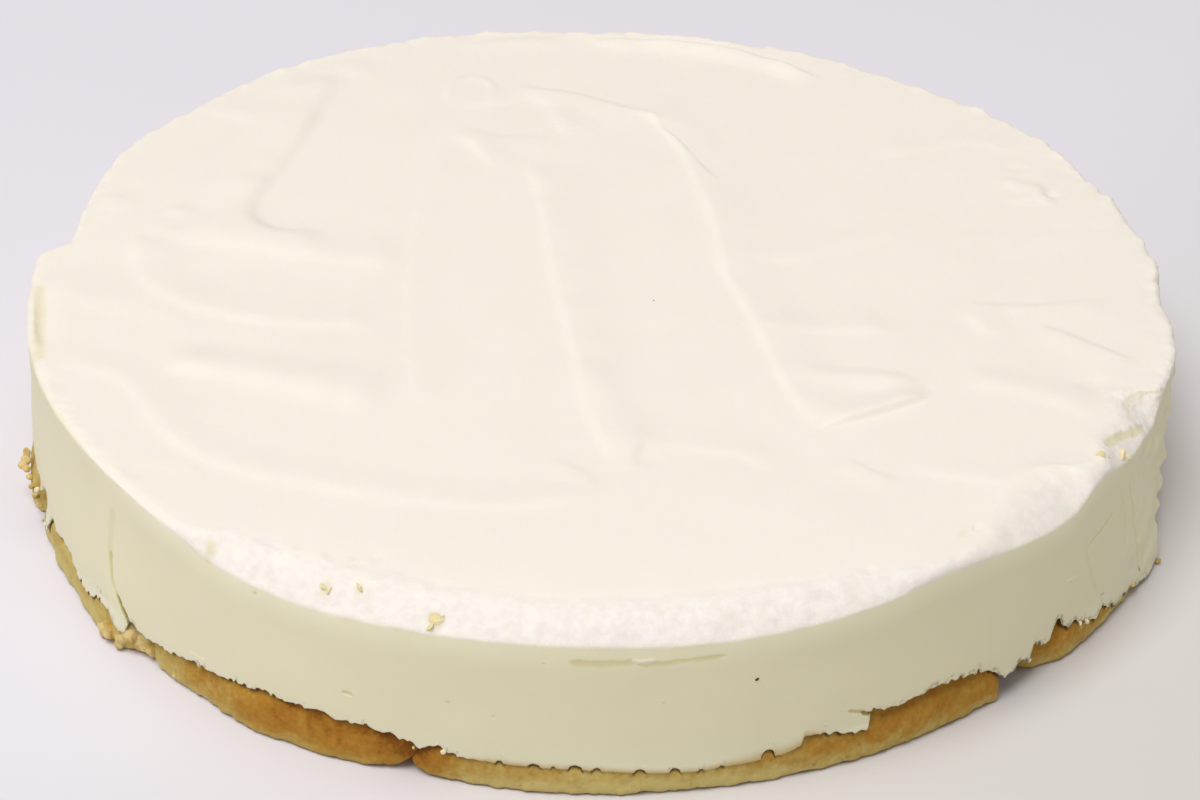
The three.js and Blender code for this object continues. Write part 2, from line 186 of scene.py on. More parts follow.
def noise_at(points, grain, seed, octaves=1):
    """Smooth noise from about -1 to 1 at each point, with lumps of about grain mm."""
    shift = Vector([seed * step for step in NOISE_STEP])
    scaled = points / np.broadcast_to(grain, 3)
    total = np.zeros(len(points))
    for octave in range(octaves):
        factor = 2.0**octave
        total += [noise.noise(Vector(p) * factor + shift) / factor for p in scaled]
    return total


def unevenness(points, layers, seed=0):
    """Layers of noise added up, each given by its rise in mm, its grain in mm, its seed and its octaves."""
    total = np.zeros(len(points))
    for rise, grain, layer_seed, *octaves in layers:
        total += rise * noise_at(points, grain, seed + layer_seed, *octaves)
    return total


def polar(angle, radius, z):
    """Points in mm from angles in degrees, radii and heights."""
    turn = np.radians(angle)
    return np.stack(np.broadcast_arrays(radius * np.cos(turn), radius * np.sin(turn), z), axis=-1)


def angle_of(points):
    return np.degrees(np.arctan2(points[..., 1], points[..., 0]))


def mesh_normals(mesh):
    normals = np.zeros(len(mesh.vertices) * 3, np.float32)
    mesh.vertices.foreach_get("normal", normals)
    return normals.reshape(-1, 3).astype(float)


def mesh_points(mesh):
    """The places of a mesh's vertices, in mm."""
    points = np.zeros(len(mesh.vertices) * 3, np.float32)
    mesh.vertices.foreach_get("co", points)
    return points.reshape(-1, 3).astype(float) / MM


def move_points(mesh, points):
    mesh.vertices.foreach_set("co", (points * MM).astype(np.float32).ravel())
    mesh.update()


def new_piece(name, points, faces):
    """A smooth shaded piece from points in mm."""
    mesh = bpy.data.meshes.new(name)
    mesh.from_pydata((points * MM).tolist(), [], faces)
    mesh.validate()
    mesh.shade_smooth()
    mesh.update()
    piece = bpy.data.objects.new(name, mesh)
    bpy.context.scene.collection.objects.link(piece)
    return piece


def keep_value(mesh, name, values):
    """Stores a number for each vertex, for the material to read."""
    mesh.attributes.new(name, "FLOAT", "POINT").data.foreach_set("value", values.astype(np.float32))


def round_the_cake(angle, points):
    """A smooth closed curve of a value against the angle, through points of [angle, value].
    It never swings past a point's value."""
    at, value = np.array(sorted(points), float).T
    at = np.concatenate([at[-2:] - 360, at, at[:2] + 360])
    value = np.concatenate([value[-2:], value, value[:2]])
    step = np.diff(value) / np.diff(at)
    before, after = step[:-1], step[1:]
    same_way = before * after > 0
    slope = np.zeros(len(at))
    total = np.where(same_way, before + after, 1)
    slope[1:-1] = np.where(same_way, 2 * before * after / total, 0)
    angle = turn_from(angle, 0)
    i = np.clip(np.searchsorted(at, angle) - 1, 0, len(at) - 2)
    width = at[i + 1] - at[i]
    t = (angle - at[i]) / width
    rise = value[i + 1] - value[i]
    bend = t * (1 - t) * width * (slope[i] * (1 - t) - slope[i + 1] * t)
    return value[i] + rise * t * t * (3 - 2 * t) + bend


def base_radius(angle):
    return round_the_cake(angle, WIDEST)


def unroll(points):
    """Places round the cake laid out straight: mm round it, height, and distance from the middle."""
    out = np.hypot(points[:, 0], points[:, 1])
    return np.stack([np.radians(angle_of(points)) * BASE_RADIUS, points[:, 2], out], axis=1)


def film_edge(angle, bubbles=True):
    """The film's torn lower edge: the named tears, small rounded bites and the open bubbles."""
    height = round_the_cake(angle, FILM_EDGE)
    count = round(2 * math.pi * BASE_RADIUS / BITE_SPACING)
    chance = np.random.default_rng(8)
    shift = chance.uniform(-BITE_SHIFT, BITE_SHIFT, count)
    half_width = chance.uniform(*BITE_HALF_WIDTH, count)
    depth = chance.uniform(0, 1, count) ** BITE_SHARPNESS
    step = (angle % 360) / 360 * count
    bitten = np.zeros_like(height)
    for neighbour in (-1, 0, 1):
        k = (np.floor(step).astype(int) + neighbour) % count
        off = (step - k - 0.5 + count / 2) % count - count / 2 - shift[k]
        bitten = np.maximum(bitten, depth[k] * np.sqrt(np.clip(1 - (off / half_width[k]) ** 2, 0, 1)))
    wavy = unevenness(polar(angle, BASE_RADIUS, 0.0), FILM_WAVES)
    height += round_the_cake(angle, BITES) * (bitten - BITE_MEAN + wavy)
    for middle, half_width_mm, rise in BUBBLES if bubbles else ():
        off = np.radians(turn_from(angle, middle)) * BASE_RADIUS / half_width_mm
        height += rise * np.sqrt(np.clip(1 - off**2, 0, 1))
    return np.clip(height, FILM_LOWEST, FILM_HIGHEST)


def wet_line(angle):
    """How dark the sponge is painted just below the film, for its wetness and the shade in the gap under the
    film's edge: not where the film thins out, but in bubbles.
    """
    damp_and_shade = 1 - bumps(angle, DRY_UNSHADED_FILM, flat=0.85)
    for middle, half_width_mm, _ in BUBBLES:
        off = np.radians(np.abs(turn_from(angle, middle))) * BASE_RADIUS
        damp_and_shade = np.maximum(damp_and_shade, 1 - smoothstep(off, half_width_mm, half_width_mm + WET_SHADE_MARGIN))
    return damp_and_shade


def arc_of(node):
    """The start and end angle of a bent finger's solid, the end past the start."""
    corners = np.array([vertex.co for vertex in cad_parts[node].data.vertices])
    middle = math.degrees(math.atan2(corners[:, 1].mean(), corners[:, 0].mean()))
    turns = turn_from(angle_of(corners), middle)
    return middle + turns.min(), middle + turns.max()


def finger_section():
    """Round one finger's section: depth from its outer side and height. The outer side is finest."""
    side = np.array(FINGER_SIDE)
    reach = np.concatenate([[0], np.cumsum(np.hypot(*np.diff(side, axis=0).T))])

    def along_side(count):
        at = np.linspace(0, reach[-1], count)
        return np.stack([np.interp(at, reach, side[:, k]) for k in (0, 1)], axis=1)

    def between(first, last, count, height):
        across = np.linspace(first[0], last[0], count + 2)[1:-1]
        return np.stack([across, np.full(count, height)], axis=1)

    outer = along_side(OUTER_POINTS)
    inner = along_side(INNER_POINTS)[::-1]
    inner[:, 0] = FINGER_WIDTH - inner[:, 0]
    back = between(outer[-1], inner[0], BACK_POINTS, FINGER_THICKNESS)
    under = between(inner[-1], outer[0], UNDER_POINTS, 0.0)
    return np.concatenate([outer, back, inner, under])


def rounding(distance, reach, size):
    """How far a rounded end cuts in, at a distance from it: all its size at the end, 0 past its reach."""
    share = np.clip(1 - distance / reach, 0, 1)
    return size * (1 - np.sqrt(1 - share**2))


def finger_points(start, end, start_round, end_round, lean):
    """Rows of points along a bent finger, closed at both ends, and its faces."""
    section = finger_section()
    length = math.radians(end - start) * BASE_RADIUS
    inside = np.arange(ROW_SPACING, length - LAST_ROW, ROW_SPACING)
    stations = np.concatenate([[0.0, END_SPACING], inside, [length - END_SPACING, length]])
    rows = []
    for s in stations:
        angle = start + (end - start) * s / length
        cut, lift, drop = (
            rounding(s, start_round[0], a) + rounding(length - s, end_round[0], b)
            for a, b in zip(start_round[1:], end_round[1:])
        )
        depth = cut + section[:, 0] * (FINGER_WIDTH - 2 * cut) / FINGER_WIDTH
        height = lift + section[:, 1] * (FINGER_THICKNESS - drop - lift) / FINGER_THICKNESS
        leaning = sum(
            turn * max(0, 1 - gap / LEAN_REACH) ** 2 for turn, gap in zip(lean, (s, length - s))
        )
        angle = angle + leaning * (height / LEAN_LEVEL - 1)
        rows.append(polar(angle, base_radius(angle) - depth, height))
    for tip, outwards in ((rows[0], False), (rows[-1], True)):
        middle = tip.mean(axis=0)
        caps = [middle + (tip - middle) * share for share in CAP_RINGS]
        rows = rows + caps if outwards else caps[::-1] + rows
    count = len(section)
    faces = []
    for row in range(len(rows) - 1):
        for i in range(count):
            a, b = row * count + i, row * count + (i + 1) % count
            faces.append((a, a + count, b + count, b))
    last = (len(rows) - 1) * count
    faces.append(tuple(range(count)))
    faces.append(tuple(last + i for i in reversed(range(count))))
    return np.concatenate(rows), faces


def roughen_sponge(mesh, seed):
    """Soft lumps, upright wrinkles in the crust and small pores. Nothing goes below the underside or
    through the film of mousse."""
    points = mesh_points(mesh)
    normals = mesh_normals(mesh)
    wrinkles = unevenness(unroll(points), UPRIGHT_WRINKLES, seed) + unevenness(points, CRUST_GRAIN, seed)
    push = unevenness(points, SPONGE_LUMPS, seed) + wrinkles
    edge = film_edge(angle_of(points))
    covered = smoothstep(points[:, 2], edge - COVER_MARGIN, edge)
    push = np.where(push > 0, push * (1 - COVERED_SHARE * covered), push)
    foot = 1 - smoothstep(points[:, 2], *FOOT_TOP_EDGE)
    push += foot * unevenness(points, FOOT_LUMPS, seed)
    points += normals * push[:, None]
    points[:, 2] = np.clip(points[:, 2], 0, HIGHEST_SPONGE)
    move_points(mesh, points)


class Link:
    """An output of a shader node. Sums and products with it add Math nodes."""

    def __init__(self, tree, output=None):
        self.tree = tree
        self.output = output

    def node(self, kind, settings=None, sockets=None, output=0):
        """Adds a node, sets it up, fills or links its inputs, and returns one of its outputs."""
        made = self.tree.nodes.new(kind)
        for key, value in (settings or {}).items():
            if key == "stops":
                ramp = made.color_ramp.elements
                while len(ramp) < len(value):
                    ramp.new(0.5)
                for stop, (place, colour) in zip(ramp, value):
                    stop.position = place
                    stop.color = colour
            else:
                setattr(made, key, value)
        for key, value in (sockets or {}).items():
            if isinstance(value, Link):
                self.tree.links.new(value.output, made.inputs[key])
            else:
                made.inputs[key].default_value = value
        return Link(self.tree, made.outputs[output])

    def attribute(self, name):
        """A number that the mesh keeps for each vertex."""
        return self.node("ShaderNodeAttribute", {"attribute_name": name}, output="Fac")

    def clouds(self, scale, detail):
        """Cloudy noise on these coordinates, with about scale lumps to the metre."""
        return self.node("ShaderNodeTexNoise", {}, {"Vector": self, "Scale": scale, "Detail": detail}, "Fac")

    def maths(self, operation, first, second=0.0):
        return self.node("ShaderNodeMath", {"operation": operation}, {0: first, 1: second})

    def __add__(self, other):
        return self.maths("ADD", self, other)

    def __radd__(self, other):
        return self.maths("ADD", other, self)

    def __sub__(self, other):
        return self.maths("SUBTRACT", self, other)

    def __rsub__(self, other):
        return self.maths("SUBTRACT", other, self)

    def __mul__(self, other):
        return self.maths("MULTIPLY", self, other)

    def __rmul__(self, other):
        return self.maths("MULTIPLY", other, self)

    def ramp(self, low, high):
        """0 up to low, 1 from high, and smooth between."""
        settings = {"interpolation_type": "SMOOTHSTEP"}
        return self.node("ShaderNodeMapRange", settings, {"Value": self, "From Min": low, "From Max": high})

    def towards(self, first, second):
        """A colour between two, with this value as the share of the second."""
        return self.node("ShaderNodeMix", {"data_type": "RGBA"}, {0: self, 6: first, 7: second}, 2)


def rgb(red, green, blue):
    """A linear colour from everyday 0 to 255 values."""
    share = np.array([red, green, blue]) / 255
    linear = np.where(share <= 0.04045, share / 12.92, ((share + 0.055) / 1.055) ** 2.4)
    return (*linear, 1.0)


def new_material(name):
    """A material with only its Principled BSDF: the material, that node and a start for its nodes."""
    material = bpy.data.materials.new(name)
    material.use_nodes = True
    return material, material.node_tree.nodes["Principled BSDF"], Link(material.node_tree)


def finish_material(shader, colour, height, strength, depth, constants):
    """Links a colour and a bump from a height, depth mm deep, and sets the shader's constant inputs."""
    links = colour.tree.links
    links.new(colour.output, shader.inputs["Base Color"])
    bump = colour.node("ShaderNodeBump", {}, {"Height": height, "Strength": strength, "Distance": depth * MM})
    links.new(bump.output, shader.inputs["Normal"])
    for name, value in constants.items():
        shader.inputs[name].default_value = value


# From the pale foot to the best baked back.
CRUST_COLOURS = [
    (0.0, rgb(206, 188, 120)),
    (0.3, rgb(192, 164, 90)),
    (0.6, rgb(178, 132, 50)),
    (0.85, rgb(164, 110, 32)),
    (1.0, rgb(136, 84, 20)),
]
PORE_COLOUR = rgb(136, 88, 34)
# the wet line's colour: wetness with painted shade under the film's edge
WET_AND_SHADE_COLOUR = rgb(84, 52, 14)
# the foot's dark line: browning with painted contact shade on the table
FOOT_BROWNING_AND_SHADE = rgb(104, 70, 24)
SPONGE_BODY = {
    "Roughness": 0.8,
    "Specular IOR Level": 0.2,
    "Subsurface Weight": 0.2,
    "Subsurface Radius": (1.0, 0.6, 0.25),
    "Subsurface Scale": 1.5 * MM,
}


def sponge_material(name):
    """A matt crust, mottled and finely pored, painted darker just under the mousse, for wetness and the shade
    in the gap under the film, and at its foot, for browning and its contact shade on the table.
    """
    material, shader, start = new_material(name)
    place = start.node("ShaderNodeTexCoord", output="Object")
    mottle = place.clouds(140.0, 4.0)
    grain = place.clouds(1100.0, 3.0)
    chosen = place.clouds(210.0, 1.0)
    fine = place.clouds(520.0, 3.0)
    cells = start.node("ShaderNodeTexVoronoi", {}, {"Vector": place, "Scale": 420.0}, "Distance")
    browning = start.attribute("crust") + (mottle - 0.5) * 0.45 + (fine - 0.5) * 0.5 + (grain - 0.5) * 0.4
    colour = browning.node("ShaderNodeValToRGB", {"stops": CRUST_COLOURS}, {"Fac": browning}, "Color")
    pore = (1 - cells.ramp(0.1, 0.3)) * chosen.ramp(0.52, 0.62)
    speckled = (pore * 0.35).towards(colour, PORE_COLOUR)
    # painted shade: the sponge is darkened just below the film's edge, for wetness and the shade in the gap
    # under the film
    below = start.attribute("below_film")
    moist = (1 - (below + (grain - 0.5) * 0.9).ramp(0.5, 1.4)) * start.attribute("wet_line")
    edged = (moist * 0.85).towards(speckled, WET_AND_SHADE_COLOUR)
    # painted shade: a dark line at the foot, for browning and the contact shade on the table
    standing = start.node("ShaderNodeSeparateXYZ", {}, {"Vector": place}, "Z")
    foot = 1 - (standing + (fine - 0.5) * 1.2 * MM).ramp(0.3 * MM, 1.0 * MM)
    footed = (foot * 0.5).towards(edged, FOOT_BROWNING_AND_SHADE)
    height = grain * 0.6 + mottle * 0.3 - pore * 0.5
    finish_material(shader, footed, height, 0.6, 0.3, SPONGE_BODY)
    return material


CRUST = [
    # angle and how brown the crust is, from 0 to 1
    [-175, 0.3], [-150, 0.2], [-138, 0.3], [-132, 0.36], [-129, 0.5], [-122, 0.64], [-116, 0.78],
    [-110, 0.84], [-105, 0.95], [-101.5, 0.7], [-99, 0.42], [-96, 0.35], [-92, 0.28], [-80, 0.26],
    [-72, 0.42], [-66, 0.58], [-58, 0.64], [-50, 0.68], [-44, 0.7], [-34, 0.6], [-20, 0.5], [60, 0.6],
    [150, 0.55],
]
# The crust's uneven browning in layers: strength, grain in mm and seed.
CRUST_STREAKS = [(0.05, (1.6, 7, 7), 4)]
CRUST_PATCHES = [(0.14, (5, 5, 3), 5)]
PALE_FOOT = 0.42  # how much less brown the crust is at its foot
PALE_FOOT_HEIGHTS = (0.5, 5.8)  # in mm, from palest to brown


def keep_crust(mesh, seed):
    """How brown the crust is, which is palest at the foot, and how far below the film's edge it lies."""
    points = mesh_points(mesh)
    angle = angle_of(points)
    uneven = unevenness(unroll(points), CRUST_STREAKS, seed) + unevenness(points, CRUST_PATCHES, seed)
    foot = PALE_FOOT * (1 - smoothstep(points[:, 2], *PALE_FOOT_HEIGHTS))
    keep_value(mesh, "crust", round_the_cake(angle, CRUST) - foot + uneven)
    keep_value(mesh, "below_film", np.clip(film_edge(angle) - points[:, 2], -2, 12))
    # where the wet line of painted shade and wetness falls
    keep_value(mesh, "wet_line", wet_line(angle))


sponge = sponge_material("sponge_crust")
for order, (place_name, ends) in enumerate(EDGE_FINGERS.items()):
    start_round, end_round, start_push, end_push, lean = ends
    node_name = "sponge_edge_" + place_name
    start_angle, end_angle = arc_of(node_name)
    shape = finger_points(start_angle + start_push, end_angle + end_push, start_round, end_round, lean)
    finger = new_piece("finger_" + place_name, *shape)
    roughen_sponge(finger.data, 10 * order)
    keep_crust(finger.data, 10 * order)
    finger.data.materials.append(sponge)
    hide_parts(node_name)
    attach(finger, "root")

# ---- Sponge fingers in the middle ----------------------------------------------------------------
# Straight fingers in six rows, trimmed to a disc, which fill the floor of the tin inside the ring.
# They lie flat, so their undersides show their paler baked side.
MIDDLE_GRID = 1.2
MIDDLE_SMOOTHING = 4
MIDDLE_SEEDS, LEFT_SEEDS = 100, 7  # so that the fingers' lumps differ, also from those of the ring


def middle_finger(node_name, name):
    """A copy of the finger's solid with its edges softened by remeshing."""
    piece = bpy.data.objects.new(name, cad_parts[node_name].data.copy())
    bpy.context.scene.collection.objects.link(piece)
    shell = bmesh.new()
    shell.from_mesh(piece.data)
    bmesh.ops.remove_doubles(shell, verts=shell.verts, dist=0.01 * MM)
    shell.to_mesh(piece.data)
    shell.free()
    remesh = piece.modifiers.new("remesh", "REMESH")
    remesh.mode = "VOXEL"
    remesh.voxel_size = MIDDLE_GRID * MM
    smooth = piece.modifiers.new("smooth", "SMOOTH")
    smooth.iterations = MIDDLE_SMOOTHING
    made = bpy.data.meshes.new_from_object(piece.evaluated_get(bpy.context.evaluated_depsgraph_get()))
    piece.modifiers.clear()
    piece.data = made
    made.materials.clear()
    made.shade_smooth()
    return piece


for row in range(1, 7):
    for half in ("left", "right"):
        node_name = f"sponge_middle_{row}_{half}"
        finger = middle_finger(node_name, f"finger_middle_{row}_{half}")
        roughen_sponge(finger.data, MIDDLE_SEEDS + 20 * row + LEFT_SEEDS * (half == "left"))
        keep_crust(finger.data, MIDDLE_SEEDS + 20 * row)
        finger.data.materials.append(sponge)
        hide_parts(node_name)
        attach(finger, "root")

# ---- Mousse ----------------------------------------------------------------------------------------
# Set lemon mousse, whipped cream and egg white with a little gelatine, poured over the fingers in a
# ring tin. The tin left a smooth wall, a palette knife left low ridges on the top, and the front
# rim crumbled as the tin came off. Its lower edge is a thin film torn raggedly over the fingers.
TOP_HEIGHT = 42
UNDERSIDE = 11.8
FOOT_TOP = 15  # where the film over the fingers starts
FILM = [
    # angle and thickness of the film
    [-175, 0.5], [-105, 0.45], [-97, 0.25], [-72, 0.25], [-68, 0.5], [-65.5, 1.1], [-64.6, 1.1], [-64, 0.5],
    [-30, 0.45], [90, 0.45],
]
WALL_FOOT = [
    # angle and radius of the wall just above the fingers
    [-175, 128.7], [-168, 128.3], [-158, 128.2], [-152, 128.7], [-146, 129.3], [-142, 129.7], [-138, 130],
    [-134, 129.6], [-128, 129.9], [-118, 130.5], [-105, 130.3], [-95, 130.5], [-80, 130.9], [-50, 131],
    [-43, 131.2], [-34, 132.1], [-28, 133.1], [-24.5, 133.7], [-22, 133.3], [-19.5, 132.4], [-17, 131.8],
    [-12, 131.5], [0, 131], [14, 130.6], [40, 130.3], [150, 130], [162, 128.4], [172, 128],
]
TOP_EDGE = [
    # angle and radius of the wall at its top
    [-175, 127], [-165, 126.9], [-150, 127], [-137, 128.2], [-128, 129.6], [-110, 130.1], [-80, 130.3],
    [-50, 130.3], [-30, 130.5], [-19, 130.8], [-14, 131.6], [-9, 131], [-6, 130.2], [-3.5, 129], [0, 129.6],
    [3, 130.9], [7, 131.2], [12, 130.8], [17.5, 131.5], [22, 130.6], [27, 131.4], [32, 132.4], [36, 131.9],
    [40, 131.5], [44, 130.6], [50, 130.2], [55, 129.3], [61, 130.2], [67, 130.2], [72, 128.4], [75, 127.9],
    [78, 129.4], [82, 127.9], [86, 128.6], [91, 127], [95, 128.6], [99, 129.8], [105, 131.3], [110, 132.2],
    [116, 132], [122, 132.8], [127, 131.9], [131, 132.2], [136, 131], [140, 130], [144, 129.1], [149, 129.5],
    [155, 129], [158, 127.6], [161, 126.3], [165, 124.7], [168, 123.6], [172, 122.2], [175, 122.2],
    [178.5, 127.6], [182, 127.4],
]
RIM_FOOT = [
    # angle and height of the line where the rough rim ends and the smooth wall begins
    [-170, 40.6], [-150, 41.2], [-137, 41.6], [-131, 40.8], [-126.5, 39.3], [-124, 37.8], [-121, 36.9],
    [-115, 36], [-103, 36.4], [-92, 36.6], [-80, 36.2], [-66, 37.6], [-60, 39], [-56.4, 39.6], [-52, 39],
    [-48.5, 38.2], [-43.5, 37], [-40.8, 37], [-39.1, 38.4], [-37.4, 40], [-34.9, 40.2], [-33.2, 39.3],
    [-30.5, 37.7], [-28, 37.2], [-26.2, 37.7], [-24.6, 36.6], [-23.2, 36.2], [-22, 37.2], [-20.5, 39.4],
    [-18, 40.6], [-12, 40.8], [0, 40], [30, 40.6], [60, 40.2],
    [90, 40.8], [130, 40.4], [160, 40.6], [176, 39.8],
]
RIM_RISES = [[-40, 12, 1.2], [80, 30, 1.2], [-140, 14, 0.4], [-90, 60, -0.6]]
WIDE_RIM = [[-44, 14, 1.8], [-152, 24, 1.5]]  # where the rim slopes more gently: middle, half width and mm
# How torn and white the rim is: angle and share.
TORN_RIM = [
    [-150, 0], [-131, 0.1], [-125, 1], [-62, 1], [-54, 0.7], [-32, 0.7], [-26, 0.8], [0, 0.4], [60, 0.2],
    [180, 0.2],
]
# How lumpy the rim is: angle and share.
LUMPY = [
    [-175, 0.9], [-160, 0.9], [-140, 0.6], [-128, 0.5], [-123, 0.8], [-105, 0.8], [-95, 0.5], [-60, 0.35],
    [-54, 0.2], [-34, 0.25], [-27, 0.45], [-20, 0.9], [0, 1.1], [30, 1.1], [60, 1.0], [120, 1.1], [180, 0.8],
]
# The narrow hollow behind a thin lip at the left edge of the top, and its painted yellow-olive shade: the
# share, and the distances from the hollow's line between which it fades.
LEFT_HOLLOW = [(-124, -12), (-122.6, -19), (-121.4, -26), (-120, -34), (-118.8, -40)]
LEFT_HOLLOW_SHADE = (0.32, 0.2, 2.4)
# Knife strokes on the top. Each is a line of points, its rise, and how far it falls away to the
# left and to the right of the way it runs; a list of two is the fall at its start and at its end.
# A long fall with a short one is an edge that the knife left standing, and a negative rise is a
# groove.
STROKES = [
    # the long ridges that run from the back to the front
    ([(-16, 54), (-12, 33), (-9, 6), (-5, -21), (-2, -40), (0.5, -58), (5.5, -73), (7.5, -79)],
     0.75, 15, [2.2, 3]),
    ([(-2, -36), (3, -52), (8, -66), (11, -76)], 0.4, 7, 7),
    ([(13, -67), (11.5, -72), (9.5, -78)], -0.5, 6, 2),
    ([(8, 83), (14, 79), (18, 71), (22, 60), (26, 40), (29, 22), (31, 1),
      (36, -17), (40, -35), (44, -51), (49, -61.5)], 0.8, 14, 2.4),
    ([(-20, 98), (-17, 93), (-6, 90), (5, 84), (14, 79), (17, 74)], 0.55, 1.8, 9),
    ([(15, 77), (20.5, 67), (25.5, 56), (31, 44)], -0.4, 7, 1.4),
    ([(-39, 65), (-41, 20), (-40, -20), (-37, -45), (-33, -60)], 0.2, 8, 2.6),
    # the folded flap at the front end of the right one
    ([(43, -41.5), (52, -42.5), (65, -43), (72, -46)], 0.75, [7, 2.5], 5.5),
    ([(46, -63), (57, -58), (66, -53), (74, -48)], 1.3, 8, 1),
    # strokes on the left
    ([(-108, 18.5), (-104, 17), (-91, 13.5), (-79, 10.5), (-67, 7.5), (-56, 5), (-42, 3)], 0.7, 14, 5.6),
    ([(-102, 27), (-94, 21)], 0.5, 6, 3),
    ([(-106, 17), (-104, 4), (-99, -8), (-90, -16.5), (-76, -22), (-62, -24), (-46, -24)], 0.65, 12, 3.4),
    ([(-126, -5), (-119, -11), (-104, -18), (-86, -21.5)], 0.4, 12, 6),
    ([(-93, -41.5), (-79, -43.5), (-69, -46.5), (-56, -50), (-42, -55)], 1.5, [9, 14], [4.5, 10]),
    ([(-117, -40), (-101, -47), (-94.5, -54), (-88, -66), (-79, -76), (-67, -82.5), (-54, -86),
      (-40, -89.5), (-25, -92), (-13, -92), (-4, -89.5), (0, -85), (-2.5, -80.5), (-11, -76)], 0.5, 10, 3),
    ([(-97, -80), (-77, -81)], 0.3, 7, 3),
    # the edge of a broad dip at the back left
    ([(-69.5, 101), (-71, 88), (-75, 64), (-79.5, 45), (-82.5, 33), (-82.6, 25), (-80, 18.5), (-75, 14.5),
      (-69, 14), (-62, 15.5)], 1.1, [5, 4], 15),
    ([(-102, 78), (-90, 77), (-81, 69)], 0.5, 10, 5),
    # small loops where the knife was lifted, at the back
    ([(-37, 84), (-38, 92), (-35, 98), (-31, 99), (-27, 95), (-27, 88), (-30, 83)], 0.35, 2, 2),
    ([(-38, 82), (-26, 85), (-17, 90)], 0.3, 8, 2.5),
    ([(-17, 92), (-11, 84), (-9, 76), (-5, 66)], 0.5, 8, 3.2),
    ([(-35, 72), (-27, 66), (-15, 65), (-8, 66)], 0.3, 2.4, 9),
    ([(-35.5, 69), (-28, 59), (-23, 47)], 0.6, 8, 2.6),
    # the back rim, turned up by the last stroke
    ([(-38, 117), (-22, 121), (-6, 121)], 0.5, 3, 7),
    ([(-2, 121.5), (10, 121), (22, 119.5), (34, 116.5), (45, 111), (52, 106), (59, 101.5)], 1.3, 1.8, 6.5),
    ([(19, 108), (20.5, 98), (21, 87)], 0.12, 3, 6),
    # strokes on the right
    ([(34, 8), (46, 8.5), (57, 14), (69, 20), (82, 27)], 0.3, 9, 3),
    ([(82, 18.5), (100, 19.5), (124, 22)], 0.22, 4, 9),
    ([(36, -18), (41, -22.5), (52, -23), (70, -22)], 0.5, 10, 3),
    ([(78, -43), (90, -45), (100, -50), (108, -57)], 0.65, 8, 4.4),
    ([(82.5, -8), (87, -11.5), (100, -12.5), (118, -9)], 0.5, [1.8, 3.5], 9),
    ([(83, -12), (86, -18), (89, -27)], 0.5, 8, 3),
    ([(97, -19), (108, -27), (119, -36)], 0.75, 2.2, 9),
    ([(64.5, -77), (76, -79), (89, -82)], 0.4, 8, 2.6),
    ([(51, -73), (58, -79), (65, -83)], 0.35, 1.8, 6),
    ([(14, -69), (26, -71), (33, -73), (39, -79)], 0.35, 8, 2.6),
    ([(105, 49), (107, 44), (108.6, 38), (108.6, 34)], 1.1, 2.6, 6),
    # the hollow behind a thin lip at the left edge
    (LEFT_HOLLOW, -0.7, 5, 1.6),
    ([(68, 60), (80, 64), (92, 68), (100, 66), (106, 61)], 0.35, 8, 3),
    ([(-14, -123), (20, -119), (52, -113)], -0.12, 1.5, 3),
]
# Dabs and dents in the top: x, y, radius and rise.
DABS = [
    (-62, 103, 7, 0.5), (-113, 29, 6, 0.6), (-78, 90, 5, 0.4), (103, 38, 4, 0.6), (108, -43, 5, -0.7),
    (103, 55, 3, -0.4), (101.5, 46.5, 4, 0.7), (109.5, 41, 3, -0.7), (-40.5, -110, 2.2, -0.6),
    (77.2, -96.7, 1.2, -0.9), (55, -112, 2.4, -0.7), (58, -117, 1.8, -0.6), (-72.7, -105.4, 2.2, -0.9),
]
STROKE_FADE = 9  # mm over which a long stroke rises at its start and sinks at its end
LONGEST_FADE = 0.4  # the same for a short stroke, as a share of it
STROKE_WAVE = 9  # mm between the small swells along a stroke
STROKE_SWELL = 0.5  # how much they change its rise
# How the mesh is made finer along a line: its edges as a share of the line's width, and the least and the
# most they may be, in mm. They grow again from first to last mm past the width, inside a margin.
WIDEST_SPACING = 2.8
FINE_STROKES = {"share": 0.5, "least": 0.7, "most": 1.5, "first": 0.3, "last": 4, "margin": 9}
FINE_MARKS = {"share": 0.4, "least": 0.3, "most": 1, "first": 0, "last": 3, "margin": 5}


def through(points, spacing=1.0):
    """Points about spacing mm apart on a smooth line through the given ones."""
    given = np.array(points, float)
    if len(given) == 2:
        given = np.array([given[0], given.mean(axis=0), given[1]])
    padded = np.concatenate([[2 * given[0] - given[1]], given, [2 * given[-1] - given[-2]]])
    line = []
    for a, b, c, d in zip(padded, padded[1:], padded[2:], padded[3:]):
        count = max(1, round(np.hypot(*(c - b)) / spacing))
        for t in np.arange(count) / count:
            ahead = (c - a) / 2
            onwards = (d - b) / 2
            line.append((2 * t**3 - 3 * t**2 + 1) * b + (t**3 - 2 * t**2 + t) * ahead
                        + (3 * t**2 - 2 * t**3) * c + (t**3 - t**2) * onwards)
    return np.array(line + [given[-1]])


def beside(line, x, y):
    """For each place: its distance to the left of a line, below 0 to the right, and how far along it is."""
    ahead = np.diff(line, axis=0)
    length = np.hypot(*ahead.T)
    ahead = ahead / length[:, None]
    reach = np.concatenate([[0], np.cumsum(length)])
    from_start = np.stack([x[:, None] - line[:-1, 0], y[:, None] - line[:-1, 1]], axis=-1)
    along = np.clip((from_start * ahead).sum(axis=-1), 0, length)
    off = from_start - along[..., None] * ahead
    gap = np.hypot(off[..., 0], off[..., 1])
    nearest = gap.argmin(axis=1)
    rows = np.arange(len(x))
    side = ahead[nearest, 0] * from_start[rows, nearest, 1] - ahead[nearest, 1] * from_start[rows, nearest, 0]
    return np.copysign(gap[rows, nearest], side), (reach[nearest] + along[rows, nearest]) / reach[-1]


